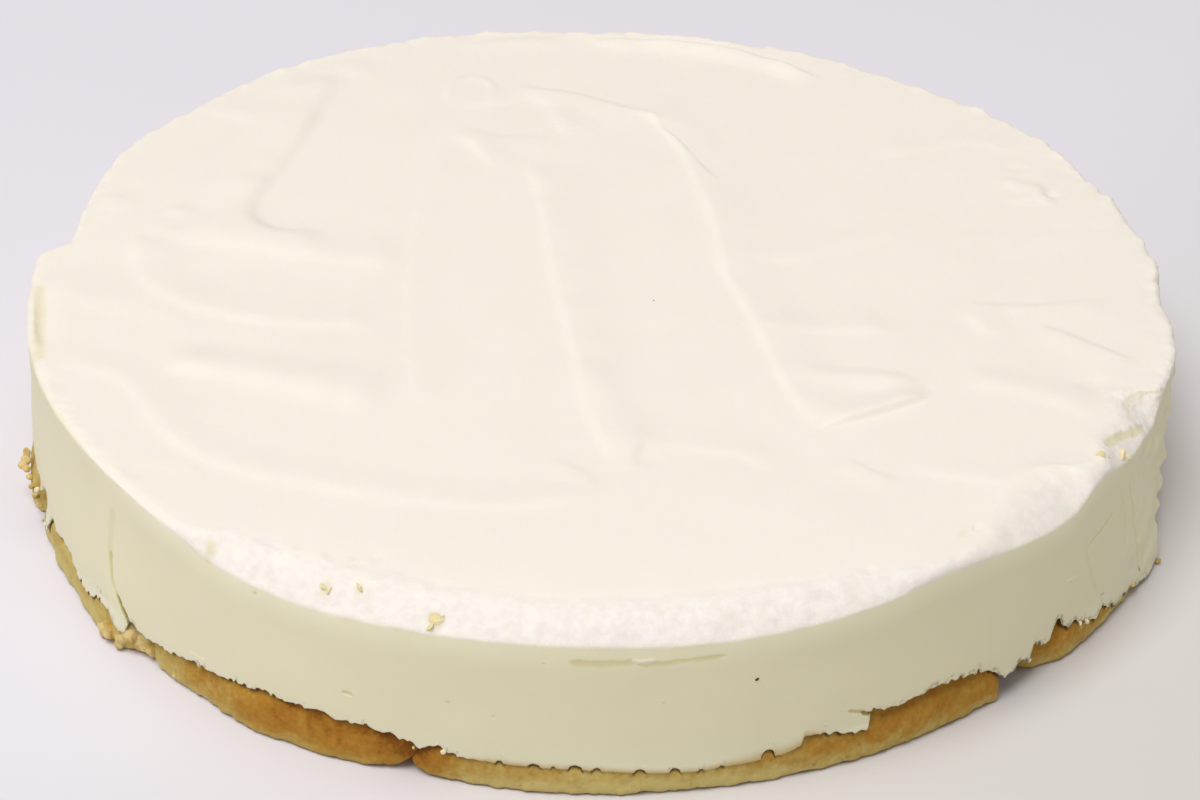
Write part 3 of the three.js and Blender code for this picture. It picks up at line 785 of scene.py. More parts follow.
def pair(fall):
    """A fall as two numbers, at a stroke's start and at its end."""
    return fall if isinstance(fall, list) else [fall, fall]


STROKE_LINES = [(through(points), rise, pair(left), pair(right)) for points, rise, left, right in STROKES]


def close_to(line, x, y, margin):
    """Which places lie inside the box round a line, widened by a margin."""
    inside = np.ones(len(x), bool)
    for k, place in enumerate((x, y)):
        inside &= (place > line[:, k].min() - margin) & (place < line[:, k].max() + margin)
    return inside


def stroke_relief(x, y):
    """Height that the strokes and dabs add to the top."""
    relief = np.zeros_like(x)
    for order, (line, rise, left, right) in enumerate(STROKE_LINES):
        near = close_to(line, x, y, max(*left, *right))
        if near.any():
            side, along = beside(line, x[near], y[near])
            first, last = (np.where(side > 0, left[k], right[k]) for k in (0, 1))
            fall = np.clip(1 - np.abs(side) / (first + (last - first) * along), 0, 1)
            fade = min(LONGEST_FADE, STROKE_FADE / len(line))
            ends = smoothstep(along, 0, fade) * (1 - smoothstep(along, 1 - fade, 1))
            crest = fall * fall * (3 - 2 * fall)
            wave = along * len(line) / STROKE_WAVE
            at = np.stack([wave, np.full_like(along, order), np.zeros_like(along)], axis=1)
            relief[near] += rise * crest * ends * (1 + STROKE_SWELL * noise_at(at, 1, 6))
    for middle_x, middle_y, radius, rise in DABS:
        gap = np.hypot(x - middle_x, y - middle_y)
        relief += rise * (1 - smoothstep(gap, 0, radius))
    return relief


def finer_along(spacing, line, width, x, y, share, least, most, first, last, margin):
    """Shortens the mesh's edges at the places near a line that is width mm wide."""
    near = close_to(line, x, y, margin)
    if near.any():
        gap = np.abs(beside(line, x[near], y[near])[0])
        fine = np.clip(share * width, least, most)
        wanted = fine + (WIDEST_SPACING - fine) * smoothstep(gap, width + first, width + last)
        spacing[near] = np.minimum(spacing[near], wanted)


def stroke_spacing(x, y):
    """How long the mesh's edges may be on the top: short along each stroke's steep side."""
    spacing = np.full(len(x), WIDEST_SPACING)
    for line, _, left, right in STROKE_LINES:
        finer_along(spacing, line, min(*left, *right), x, y, **FINE_STROKES)
    return spacing


# Down the mousse from the middle of its top to the middle of its underside, the distance at which
# each stretch ends: the flat top, its outer band, the rim, the wall, the film, its lip, its inside.
TOP_END, BAND_END, RIM_END = 112, 126, 134
WALL_END, FILM_END, LIP_END = 155, 163, 164.2
INSIDE_END, UNDER_END = 171, 290
# Distances down the mousse between which the top's strokes die out, the rim's lumps start and stop, the
# wall's unevenness starts, and what is on the wall stops at the film's lip.
TOP_STOPS = (BAND_END - 1, BAND_END + 3)
RIM_STARTS, RIM_STOPS = (BAND_END - 4, BAND_END + 3), (RIM_END - 1, RIM_END + 0.8)
WALL_STARTS, WALL_STOPS = (RIM_END - 1, RIM_END + 2), (FILM_END, LIP_END)
WALL_BLEND = (10, 36)  # heights between which the wall goes over from its foot's radius to its top's
# Above a height the film over the fingers falls back behind the wall: by so much for each mm, for so
# many mm.
BACK_HEIGHT, BACK_SLOPE, BACK_REACH = 10.5, 2, 5
WALL_CORNER = 0.6  # how softly the wall meets the film over the fingers
RIM_STEPS = 0.35  # mm that the line under the rim goes up and down where the rim is lumpy
SLOPING = (2, 4)  # heights of the rim between which it goes over from rounded to sloping
# How far in from the wall the rim starts: mm at the least, mm for each mm of its height, and how much
# more for each mm where it slopes.
RIM_LEAST, RIM_SPREAD, SLOPE_SPREAD = 1.4, 0.33, 1.1
SLOPE_CURVE = 1.8  # above 1, a sloping rim is steeper the further down it goes
LIP_DEPTH, LIP_RISE = 0.6, 0.35  # how far the film's lower edge curls in, and up behind itself
INSIDE_DEPTH = 6  # how far the mousse's unseen lower part goes in behind the lip
CLIMB_SHARE = 0.7  # share of that way on which it climbs to the underside
UNDER_GAP = 0.2  # mm that its skin stays above the height of the underside


def soft_max(a, b, blend):
    """The larger of two numbers, with the corner between them rounded over."""
    return (a + b + np.sqrt((a - b) ** 2 + blend**2)) / 2


def wall_radius(angle, z):
    """The wall leans out to follow the fingers where they bulge."""
    top = round_the_cake(angle, TOP_EDGE)
    foot = round_the_cake(angle, WALL_FOOT)
    wall = foot + (top - foot) * smoothstep(z, *WALL_BLEND)
    side = np.array(FINGER_SIDE)
    over_fingers = base_radius(angle) - np.interp(z, side[:, 1], side[:, 0]) + round_the_cake(angle, FILM)
    over_fingers = over_fingers - BACK_SLOPE * np.clip(z - BACK_HEIGHT, 0, BACK_REACH)
    return soft_max(wall, over_fingers, WALL_CORNER)


def rim_foot(angle):
    """Height of the line where the rim ends, with small steps in it."""
    at = polar(angle, BASE_RADIUS, 0.0)
    steps = round_the_cake(angle, LUMPY) * RIM_STEPS * noise_at(at, 3.5, 14, 2)
    return round_the_cake(angle, RIM_FOOT) + steps


def done_share(down, start, end):
    """How much of a stretch on the way down is done, from 0 to 1."""
    return np.clip((down - start) / (end - start), 0, 1)


def mousse_surface(angle, down):
    """Points on the mousse at an angle and a distance down it from the middle of its top."""
    rim_z = rim_foot(angle)
    rim_radius = wall_radius(angle, rim_z)
    top_z = TOP_HEIGHT + bumps(angle, RIM_RISES)
    sloping = smoothstep(top_z - rim_z, *SLOPING)
    roundness = RIM_LEAST + (RIM_SPREAD + SLOPE_SPREAD * sloping) * (top_z - rim_z) + bumps(angle, WIDE_RIM)
    lap = film_edge(angle)

    radius = np.minimum(down, TOP_END).astype(float)
    z = np.full(len(angle), float(TOP_HEIGHT))

    share = done_share(down, TOP_END, BAND_END)
    radius += share * (rim_radius - roundness - TOP_END)
    z += share**2 * (top_z - TOP_HEIGHT)

    # a high rim is a crumbled slope that ends at an edge, a low one is rounded over
    share = done_share(down, BAND_END, RIM_END)
    quarter = share * math.pi / 2
    across = sloping * share + (1 - sloping) * np.sin(quarter)
    drop = sloping * share**SLOPE_CURVE + (1 - sloping) * (1 - np.cos(quarter))
    on_rim = down > BAND_END
    radius = np.where(on_rim, rim_radius - roundness * (1 - across), radius)
    z = np.where(on_rim, top_z - (top_z - rim_z) * drop, z)

    share = done_share(down, RIM_END, WALL_END)
    on_wall = down > RIM_END
    z = np.where(on_wall, rim_z + share * (FOOT_TOP - rim_z), z)

    share = done_share(down, WALL_END, FILM_END)
    on_film = down > WALL_END
    z = np.where(on_film, FOOT_TOP + share * (lap - FOOT_TOP), z)
    radius = np.where(on_wall, wall_radius(angle, z), radius)

    share = done_share(down, FILM_END, LIP_END)
    radius -= LIP_DEPTH * np.sin(share * math.pi / 2)
    z += np.where(down > FILM_END, LIP_RISE * (1 - np.cos(share * math.pi / 2)), 0)

    share = done_share(down, LIP_END, INSIDE_END)
    inside = down > LIP_END
    lip_z = lap + LIP_RISE
    climb = smoothstep(share, 0, CLIMB_SHARE)
    z = np.where(inside, lip_z + (UNDERSIDE + UNDER_GAP - lip_z) * climb, z)
    radius -= INSIDE_DEPTH * share**2

    share = done_share(down, INSIDE_END, UNDER_END)
    radius = np.where(down > INSIDE_END, radius * (1 - share), radius)
    return polar(angle, radius, z)


# Marks on the wall: a line of points, each an angle and a height, then the mark's depth (below 0 for
# a ridge), its half width in mm, and how yellow it looks, from moisture and painted shade in the mark;
# on the film over the fingers a value above 1 also paints it dark, and below 0 gives the torn rim's whiter
# colour.
WALL_MARKS = [
    # the slit under the front rim, and its torn lip
    ([(-91, 32.8), (-88, 32.6), (-85.6, 33)], 0.1, 1.1, 0.42),
    ([(-85.4, 32.5), (-84, 32.3), (-81, 32.6), (-78, 32.9)], 0.08, 0.8, 0.4),
    ([(-85.9, 33.2), (-85, 32.9), (-84, 33)], -0.15, 0.7, -0.3),
    # the crack at the left, and the hole at its foot, which is painted dark as its shade
    ([(-138.6, 34), (-139.3, 25.5), (-139.1, 21)], 0.05, 1.6, 0.2),
    ([(-139.2, 23), (-138.8, 16), (-137.9, 13)], 0.4, 0.9, 0.55),
    ([(-138.2, 14), (-137.2, 10.6), (-136.2, 7.6)], 1.2, 0.9, 2.2),
    ([(-140.4, 17), (-139.6, 11), (-138.8, 7)], -0.15, 1.4, 0),
    # the fold in the rim at the right, and a crease beyond it
    ([(-31.6, 41.4), (-30, 40.9), (-28.4, 40.2), (-26, 39.2), (-24.5, 38)], 0.15, 0.9, 0.45),
    ([(-24.6, 40.8), (-22, 41), (-20.6, 41.4), (-19, 40.4)], 0.1, 0.6, 0.2),
    # the recess above the tongue of film at the front right, painted dark as its shade
    ([(-66.4, 13.6), (-65.6, 13), (-64.9, 12.4)], 0.4, 0.7, 0.6),
    ([(-65, 12.2), (-64.5, 11.6), (-64, 11.4)], 0.6, 0.7, 1.8),
    # fine scratches at the right
    ([(-37.4, 26), (-35.4, 26.5), (-33.2, 28)], 0.18, 0.5, 0.2),
    ([(-29.2, 31), (-28.4, 22), (-27.4, 12), (-26.8, 5)], 0.2, 0.6, 0.2),
    ([(-31, 29), (-30.2, 22), (-30, 15)], 0.12, 0.6, 0.1),
    ([(-41.1, 21), (-40, 20.2), (-39.3, 20.2)], -0.15, 0.45, -0.2),
    ([(-40.4, 21), (-40.2, 19.2)], -0.12, 0.4, -0.2),
    ([(-37.8, 28), (-37.7, 22.5), (-36.6, 17), (-35.7, 12)], 0.12, 0.8, 0.12),
    # shallow dents and pits
    ([(-172, 36), (-168, 24)], 0.9, 5, 0.25),
    ([(-111.1, 17.7), (-110.3, 17.2)], 0.3, 0.6, 0.3),
    ([(-119.5, 35), (-119.3, 34.6)], 0.3, 0.6, 0.3),
    ([(-97.6, 18.4), (-97.4, 18.2)], 0.2, 0.5, 0.2),
    ([(-93.4, 32.4), (-93.2, 32.2)], 0.2, 0.5, 0.2),
]
# How wide a mark is at its tips, and how fast it widens along it, as shares of its full width.
MARK_TIP, MARK_TAPER = 0.4, 8
MARK_LINES = [
    (through([(math.radians(angle) * BASE_RADIUS, z) for angle, z in points], 0.5), depth, half_width, moist)
    for points, depth, half_width, moist in WALL_MARKS
]
# Lumps and flakes that stand out of the wall at the far right: angle, height, radius and rise in mm.
WALL_LUMPS = [
    (-24, 33, 3.2, 0.7), (-21, 29, 2.6, 0.6), (-17, 35, 3, 0.8), (-20, 23, 2.4, 0.8), (-14, 28, 3, 0.8),
    (-11.5, 20, 3.8, 0.8), (-13.6, 16, 4.4, 1.3), (-15.6, 11.5, 4, 1.2), (-17.6, 8.5, 3, 1.2),
    (-11, 34, 3, 0.8), (-9, 24, 3, 0.7), (-3, 31, 3.4, 0.7), (-27, 35.5, 2, 0.4), (-21, 15, 2.6, -0.5),
    (-25, 27, 2, -0.4), (4, 26, 4, 0.6),
]
# Soft yellow patches where zest lies just under the surface: x, y, radius in mm, and share.
TINTS = [
    (-49.7, -116.6, 1.9, 0.35), (-43, -118.1, 1.5, 0.22), (-28.2, -125, 2.2, 0.4), (-45, -110.5, 1.6, 0.15),
    (111.6, -67.4, 1.5, 0.2), (-73, -105.6, 2, 0.42), (74, -99, 1.2, 0.2),
]
# On arcs, each a middle, a half width in degrees and a size: the flakes on the wall, the film smeared
# thin and how much higher it is, the film specked with crumbs and painted shade in its pits, the band of
# painted light under the rim at the front,
# and how much further up the smooth side goes beside the hollow at the left.
FLAKY = [[-14, 20, 0.4]]
SMEARED = [[-84, 17, 1.0]]
SMEARED_HIGHER = [[-74, 6, 1.4]]
SOILED_AND_PIT_SHADED = [[-52, 14, 1.0], [-38, 12, 0.8], [-137, 4, 0.5], [-157, 4, 1.0]]
# painted light: a paler, yellower band on the wall just under the front rim
PAINTED_LIGHT_BAND = [[-85, 60, 0.6]]
PAINTED_LIGHT_BAND_REACH = (0.5, 7)  # mm below the rim between which the pale band fades
HIGH_SIDE = [[-152, 24, 4.5]]
# How much of the sponge shows through the film's edge and how many mm up, and how much more of each
# where the film is smeared.
SHOWS, SHOWS_UP = 0.15, 0.4
SMEARED_SHOWS, SMEARED_SHOWS_UP = 0.75, 1.2
SHOWS_FROM = -0.4  # mm from the film's edge
# The dark specks of crumbs and painted pit shade on the film: their noise's grain, seed and octaves, the
# levels of it between which
# they show, and the mm above the film's edge between which they end.
SPECKS = (1.3, 31, 2)
SPECK_LEVELS = (-0.15, 0.4)
SPECK_REACH = (0.2, 1.9)
# Where the torn white starts on the rim: its noise's grain and seed, the levels, how far down the rim it
# comes in, and how much further down where the rim is wide.
PATCHES = (4, 33)
PATCH_LEVELS = (-0.7, 1)
PATCH_DEPTH, WIDE_PATCH_DEPTH = 3, 3
TINT_CORE = 0.2  # share of a yellow patch's radius inside which it is strongest
# the moulded look includes painted shade of the warm bounced light
LOOKS_MARGIN = 0.8  # mm past the rim's end over which the moulded look comes in
TINTED_MARGIN = 1  # mm past the rim's end down to which the top may be tinted
# The mousse's unevenness in layers: rise, grain, seed and octaves.
TOP_WAVES = [(0.22, (34, 22, 30), 3), (0.05, (9, 6, 6), 4)]
RIM_LUMPS = [(0.5, 6, 11), (0.4, 3, 12), (0.16, 1.2, 13, 2)]
MARK_WANDER = [(0.35, 2.2, 26), (0.12, 0.8, 28)]
WALL_WAVES = [(0.12, (14, 14, 9), 21)]
FLAKES = [(1, (5, 5, 4), 22, 2)]
# How much shorter the mesh's edges are on the rim, on the film's edge and on the flakes, and how much
# shorter again at the front. They are longer where nobody sees them. The pairs are the distances down
# the mousse, the mm above the film's edge and the degrees from the middle between which this fades.
FINE_RIM, FINE_RIM_FRONT = 1.6, 0.45
FINE_RIM_STARTS, FINE_RIM_STOPS = (BAND_END - 4, BAND_END - 1), (RIM_END, RIM_END + 3)
FINE_FILM, FINE_FILM_FRONT = 1.8, 0.5
FINE_FILM_REACH = (1.0, 4)
FINE_FLAKES = 1.9
FLAKES_AT, FLAKES_WITHIN = -13, (16, 22)
FRONT_AT, FRONT_WITHIN = -85, (65, 90)
INSIDE_SPACING, UNDER_SPACING = 3, 9
# Where the disc that the mesh starts from has its rings, and how far apart points on a ring are.
RINGS = [
    *range(4, TOP_END, 4), TOP_END, 116, 120, 123, BAND_END, 128, 130, 132, RIM_END, 137, 141, 146, 151,
    WALL_END, 157, 159, 161, FILM_END, 163.6, LIP_END, 167, INSIDE_END, 200, 240, 275,
]
RING_SPACING = 4
WIDEST_RING, NARROWEST_RING = 125, 20
SPLITS = 5
SPLIT_ABOVE = 1.35  # an edge is split when it is this many times longer than its place asks


def mark_spacing(unrolled):
    """How long the mesh's edges may be on the wall: short along the marks and on the flakes."""
    spacing = np.full(len(unrolled), WIDEST_SPACING)
    for line, _, half_width, _ in MARK_LINES:
        finer_along(spacing, line, half_width, unrolled[:, 0], unrolled[:, 1], **FINE_MARKS)
    from_flakes = np.abs(turn_from(np.degrees(unrolled[:, 0] / BASE_RADIUS), FLAKES_AT))
    flaky = 1 - smoothstep(from_flakes, *FLAKES_WITHIN)
    return np.minimum(spacing, WIDEST_SPACING - FINE_FLAKES * flaky)


def wall_relief(points):
    """How far the marks and lumps push the wall out, and how much yellow tint and painted shade the marks
    get.
    """
    unrolled = unroll(points)
    for axis in (0, 1):
        unrolled[:, axis] += unevenness(points, MARK_WANDER, axis)
    push = np.zeros(len(points))
    moist = np.zeros(len(points))
    for line, depth, half_width, damp_and_shade in MARK_LINES:
        near = close_to(line, unrolled[:, 0], unrolled[:, 1], half_width)
        if near.any():
            side, along = beside(line, unrolled[near, 0], unrolled[near, 1])
            taper = np.minimum(1, MARK_TAPER * np.minimum(along, 1 - along) + MARK_TIP)
            share = np.clip(1 - np.abs(side) / (half_width * taper), 0, 1)
            push[near] -= depth * share * share * (3 - 2 * share)
            # painted shade: each mark's yellow-olive, partly moisture
            moist[near] += damp_and_shade * smoothstep(share, 0, 0.6)
    for angle, z, radius, rise in WALL_LUMPS:
        gap = np.hypot(unrolled[:, 0] - math.radians(angle) * BASE_RADIUS, unrolled[:, 1] - z)
        push += rise * (1 - smoothstep(gap, 0, radius))
    return push, moist


def mousse_spacing(points, angle, down):
    """How long the mesh's edges may be: short where the form is fine."""
    front = 1 - smoothstep(np.abs(turn_from(angle, FRONT_AT)), *FRONT_WITHIN)
    spacing = np.full(len(angle), WIDEST_SPACING)
    on_top = down < BAND_END
    spacing[on_top] = stroke_spacing(points[on_top, 0], points[on_top, 1])
    on_wall = (down > BAND_END) & (down < FILM_END)
    spacing[on_wall] = mark_spacing(unroll(points[on_wall]))
    rim = smoothstep(down, *FINE_RIM_STARTS) * (1 - smoothstep(down, *FINE_RIM_STOPS))
    spacing = np.minimum(spacing, WIDEST_SPACING - rim * (FINE_RIM + FINE_RIM_FRONT * front))
    above_edge = points[:, 2] - film_edge(angle)
    film = (1 - smoothstep(above_edge, *FINE_FILM_REACH)) * (down > WALL_END)
    spacing = np.minimum(spacing, WIDEST_SPACING - film * (FINE_FILM + FINE_FILM_FRONT * front))
    spacing[down > LIP_END] = INSIDE_SPACING
    spacing[down > INSIDE_END] = UNDER_SPACING
    return spacing


def bridge(inner, outer, inner_count, outer_count):
    """Triangles between two rings that start at the same angle, whatever their counts."""
    faces = []
    i = o = 0
    while i < inner_count or o < outer_count:
        a, b = inner + i % inner_count, outer + o % outer_count
        if o == outer_count or (i < inner_count and (i + 1) / inner_count <= (o + 1) / outer_count):
            faces.append((a, b, inner + (i + 1) % inner_count))
            i += 1
        else:
            faces.append((a, b, outer + (o + 1) % outer_count))
            o += 1
    return faces


def unrolled_disc():
    """The mousse's skin as a flat disc: distance from the middle is the distance down the mousse."""
    points = [(0, 0)]
    faces = []
    counts = [1]
    starts = [0]
    for down in RINGS:
        reach = min(down, WIDEST_RING) if down < INSIDE_END else max(NARROWEST_RING, UNDER_END - down)
        count = max(6, round(2 * math.pi * reach / RING_SPACING))
        starts.append(len(points))
        counts.append(count)
        turn = -math.pi + 2 * math.pi * np.arange(count) / count
        points += list(zip(down * np.cos(turn), down * np.sin(turn)))
    first = starts[1]
    faces += [(0, first + i, first + (i + 1) % counts[1]) for i in range(counts[1])]
    for k in range(1, len(RINGS)):
        faces += bridge(starts[k], starts[k + 1], counts[k], counts[k + 1])
    return points, faces


def mousse_mesh():
    """Splits the disc's edges until each is as short as its place asks, then shapes it."""
    points, faces = unrolled_disc()
    mesh = bpy.data.meshes.new("mousse")
    mesh.from_pydata([(x, y, 0) for x, y in points], [], faces)
    shell = bmesh.new()
    shell.from_mesh(mesh)

    def shaped():
        flat = np.array([vertex.co for vertex in shell.verts])
        down = np.hypot(flat[:, 0], flat[:, 1])
        angle = angle_of(flat)
        return mousse_surface(angle, down), angle, down

    for _ in range(SPLITS):
        shell.verts.index_update()
        shell.edges.ensure_lookup_table()
        places, angle, down = shaped()
        spacing = mousse_spacing(places, angle, down)
        ends = np.array([[edge.verts[0].index, edge.verts[1].index] for edge in shell.edges])
        length = np.linalg.norm(places[ends[:, 0]] - places[ends[:, 1]], axis=1)
        longest = SPLIT_ABOVE * spacing[ends].min(axis=1)
        split = [shell.edges[i] for i in np.flatnonzero(length > longest)]
        if not split:
            break
        bmesh.ops.subdivide_edges(shell, edges=split, cuts=1)
        bmesh.ops.triangulate(shell, faces=[face for face in shell.faces if len(face.verts) > 3])
    edge_loop = [edge for edge in shell.edges if edge.is_boundary]
    bmesh.ops.edgeloop_fill(shell, edges=edge_loop)
    shell.verts.index_update()
    places, angle, down = shaped()
    shell.to_mesh(mesh)
    shell.free()
    mesh.validate()
    move_points(mesh, places)
    mesh.shade_smooth()
    return mesh, angle, down


def rim_share(down):
    """1 on the rounded rim, falling to 0 on the smooth wall and the spread top."""
    return smoothstep(down, *RIM_STARTS) * (1 - smoothstep(down, *RIM_STOPS))


def spread_top(mesh, down):
    """Adds the knife strokes and some broad, low waves to the top. Gives the new points."""
    points = mesh_points(mesh)
    top = 1 - smoothstep(down, *TOP_STOPS)
    upper = top > 0
    relief = np.zeros(len(points))
    relief[upper] = stroke_relief(points[upper, 0], points[upper, 1])
    relief[upper] += unevenness(points[upper], TOP_WAVES)
    points[:, 2] += relief * top
    move_points(mesh, points)
    return points


def roughen_sides(mesh, points, angle, down):
    """Crumbles the rim and marks the wall. Gives the new points and how much yellow tint and painted shade
    the marks get.
    """
    push = np.zeros(len(points))
    damp_and_shade = np.zeros(len(points))
    rim = rim_share(down)
    on_rim = rim > 0
    crumbled = round_the_cake(angle[on_rim], LUMPY)
    push[on_rim] = rim[on_rim] * crumbled * unevenness(points[on_rim], RIM_LUMPS)
    on_wall = (down > BAND_END) & (down < LIP_END)
    wall_points, wall_down = points[on_wall], down[on_wall]
    above_lip = 1 - smoothstep(wall_down, *WALL_STOPS)
    marks, damp_and_shade[on_wall] = wall_relief(wall_points)
    flaky = bumps(angle[on_wall], FLAKY, flat=0.5)
    uneven = unevenness(wall_points, WALL_WAVES) + flaky * unevenness(wall_points, FLAKES)
    below_rim = smoothstep(wall_down, *WALL_STARTS) * above_lip
    push[on_wall] += below_rim * uneven + marks * above_lip
    points = points + mesh_normals(mesh) * push[:, None]
    move_points(mesh, points)
    return points, damp_and_shade


def keep_film_looks(mesh, points, angle, down, damp_and_shade):
    """Stores where the film is thin enough to show the sponge, and where crumbs and painted shade darken it:
    specks in its pits, and its darkest marks.
    """
    on_film = (down > WALL_END) & (down < INSIDE_END)
    smeared = bumps(angle, SMEARED, flat=0.8)
    above_smear = points[:, 2] - film_edge(angle, bubbles=False)
    reach = SHOWS_UP + SMEARED_SHOWS_UP * smeared + bumps(angle, SMEARED_HIGHER)
    thin = (SHOWS + SMEARED_SHOWS * smeared) * (1 - smoothstep(above_smear, SHOWS_FROM, reach))
    above_edge = points[:, 2] - film_edge(angle)
    specks = smoothstep(noise_at(unroll(points), *SPECKS), *SPECK_LEVELS)
    specks = specks * (1 - smoothstep(above_edge, *SPECK_REACH))
    # painted shade: dark specks for crumbs and pits, and the darkest marks painted dark
    soiled_and_shaded = np.maximum(bumps(angle, SOILED_AND_PIT_SHADED, flat=0.5) * specks, damp_and_shade - 1)
    keep_value(mesh, "thin", np.where(on_film, thin, 0))
    keep_value(mesh, "soil", np.where(on_film, soiled_and_shaded, 0))


def keep_skin_looks(mesh, points, angle, down, damp_and_shade):
    """Stores where the skin is torn and white, where zest tints it and painted shade darkens its marks and
    hollow, where the tin moulded it, with the wall's painted shade, and the band of painted light under the
    front rim.
    """
    upper = down < RIM_END + TINTED_MARGIN
    moist = damp_and_shade.copy()
    for x, y, radius, share in TINTS:
        gap = np.hypot(points[:, 0] - x, points[:, 1] - y)
        moist += share * (1 - smoothstep(gap, TINT_CORE * radius, radius)) * upper
    # painted shade in the hollow at the left
    gaps = [np.hypot(points[:, 0] - x, points[:, 1] - y) for x, y in through(LEFT_HOLLOW, 1.5)]
    share, near, far = LEFT_HOLLOW_SHADE
    moist += share * (1 - smoothstep(np.min(gaps, axis=0), near, far)) * upper
    sloped = bumps(angle, WIDE_RIM) / WIDE_RIM[0][2]
    into_rim = (down - BAND_END - WIDE_PATCH_DEPTH * sloped) / PATCH_DEPTH
    patchy = smoothstep(noise_at(points, *PATCHES) + into_rim, *PATCH_LEVELS)
    torn = rim_share(down) * round_the_cake(angle, TORN_RIM) * patchy
    side_start = RIM_END - LOOKS_MARGIN - bumps(angle, HIGH_SIDE)
    on_side = smoothstep(down, side_start, RIM_END + LOOKS_MARGIN) * (down < LIP_END)
    under_rim = rim_foot(angle) - points[:, 2]
    # painted light: the band under the front rim
    pale = bumps(angle, PAINTED_LIGHT_BAND, flat=0.7) * (1 - smoothstep(under_rim, *PAINTED_LIGHT_BAND_REACH))
    keep_value(mesh, "torn", torn + np.clip(-moist, 0, 1))
    keep_value(mesh, "moist", np.clip(moist, 0, 1))
    keep_value(mesh, "wall", on_side)
    keep_value(mesh, "under_rim", pale)


# The mousse's colours: each of the first three varies between two.
SPREAD_COLOURS = (rgb(245, 236, 224), rgb(249, 240, 229))
# the wall's ivory is yellower and darker than the top's, partly painted shade of the warm bounced light
MOULDED_AND_SHADED_COLOURS = (rgb(233, 226, 192), rgb(238, 231, 200))
CRUMBLED_COLOURS = (rgb(240, 231, 223), rgb(249, 241, 235))
# the colour of the band of painted light under the front rim
UNDER_RIM_LIGHT_COLOUR = rgb(251, 246, 216)
# yellow of zest under the skin, and painted shade in the wall's marks and the hollow at the left
YELLOW_TINT_AND_SHADE_COLOUR = rgb(204, 194, 112)
THIN_COLOUR = rgb(196, 164, 98)
# dark of crumbs, and painted shade in pits, the recess and the hole
SOIL_AND_SHADE_COLOUR = rgb(110, 96, 60)
MOUSSE_BODY = {
    "Roughness": 0.65,
    "Subsurface Weight": 0.25,
    "Subsurface Radius": (1.0, 0.75, 0.4),
    "Subsurface Scale": 3 * MM,
}


def mousse_material():
    """Soft and matt: ivory where the tin moulded it, yellower and darker there partly as painted shade of the
    warm bounced light, whiter where it was spread or torn.
    """
    material, shader, start = new_material("lemon_mousse")
    place = start.node("ShaderNodeTexCoord", output="Object")
    cloud = place.clouds(60.0, 3.0)
    grain = place.clouds(1100.0, 3.0)
    lumps = place.clouds(480.0, 4.0)
    torn = start.attribute("torn")
    # painted shade and light: the wall is yellower and darker than the top, and the band under the front rim
    # lighter
    moulded_and_shaded = start.attribute("under_rim").towards(cloud.towards(*MOULDED_AND_SHADED_COLOURS), UNDER_RIM_LIGHT_COLOUR)
    colour = start.attribute("wall").towards(cloud.towards(*SPREAD_COLOURS), moulded_and_shaded)
    colour = torn.towards(colour, lumps.ramp(0.25, 0.75).towards(*CRUMBLED_COLOURS))
    # painted shade: the marks and the hollow take the yellow-olive colour
    colour = start.attribute("moist").towards(colour, YELLOW_TINT_AND_SHADE_COLOUR)
    colour = start.attribute("thin").towards(colour, THIN_COLOUR)
    colour = (start.attribute("soil") * 0.6).towards(colour, SOIL_AND_SHADE_COLOUR)
    height = grain * (torn * 0.4 + 0.1) + lumps * torn + cloud * 0.1
    finish_material(shader, colour, height, 0.7, 0.25, MOUSSE_BODY)
    return material


skin, skin_angle, skin_down = mousse_mesh()
skin_points, skin_damp_and_shade = roughen_sides(skin, spread_top(skin, skin_down), skin_angle, skin_down)
keep_film_looks(skin, skin_points, skin_angle, skin_down, skin_damp_and_shade)
keep_skin_looks(skin, skin_points, skin_angle, skin_down, skin_damp_and_shade)
skin.materials.append(mousse_material())
mousse = bpy.data.objects.new("mousse_layer", skin)
bpy.context.scene.collection.objects.link(mousse)
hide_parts("mousse")
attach(mousse, "root")

# ---- Torn sponge crumbs -----------------------------------------------------------------------------
# Where two fingers meet at the front left their ends were torn, and soft golden crumb fills the gap.
# A few more crumbs stick to the mousse. They are held by the mousse's own moisture.
SPONGE_CRUMBS = [
    # angle, radius and height of the middle, and size, in degrees and mm
    (-166, 130, 11.2, 1.1), (-165.6, 130.8, 10.2, 1.2), (-165.2, 131.3, 9.2, 1.0), (-165.6, 130.2, 9.4, 1.3),
    (-164.8, 130.4, 8.6, 1.0), (-164, 129.9, 7.4, 0.9), (-163.2, 129.7, 6.2, 0.9), (-162, 129.4, 5.2, 0.8),
    (-160.8, 129.2, 4.6, 0.8), (-159.6, 129.2, 6.2, 0.8), (-158.4, 129.3, 4, 0.7),
    (-20.8, 133.6, 8.6, 0.7), (-20.6, 133.4, 7.8, 0.5), (-22, 136, 0.8, 0.8), (-28.2, 133.9, 3.4, 0.7),
    (-27.6, 134.2, 2.4, 0.6), (-38.4, 132.6, 6.4, 0.5), (-33.6, 132.8, 4.6, 0.5), (-104.6, 130.4, 7.6, 0.5),
]
TORN_GAP = [
    # round the gap: angle, how far out the crumb reaches at its foot and how high it rises
    (-142.4, 131, 2.4), (-140.6, 132.2, 4.4), (-138.4, 133, 6), (-137, 132.2, 7.6), (-136.2, 130.4, 8),
    (-135.4, 129.4, 7.8), (-134, 129, 7), (-132, 129.4, 5), (-130.4, 129.8, 2.4),
]
GAP_CRUMBS = 70
GAP_SIZES = (1.0, 2.1)
RESTING_HEIGHT = 1.15  # height of the middle of a crumb on the table, in times its size
COVERED_HEIGHT = 1.9  # how much of the heap's height a crumb takes up, in times its size
GAP_UNEVENNESS = 1.2  # mm that a crumb may lie further in than the gap's outline
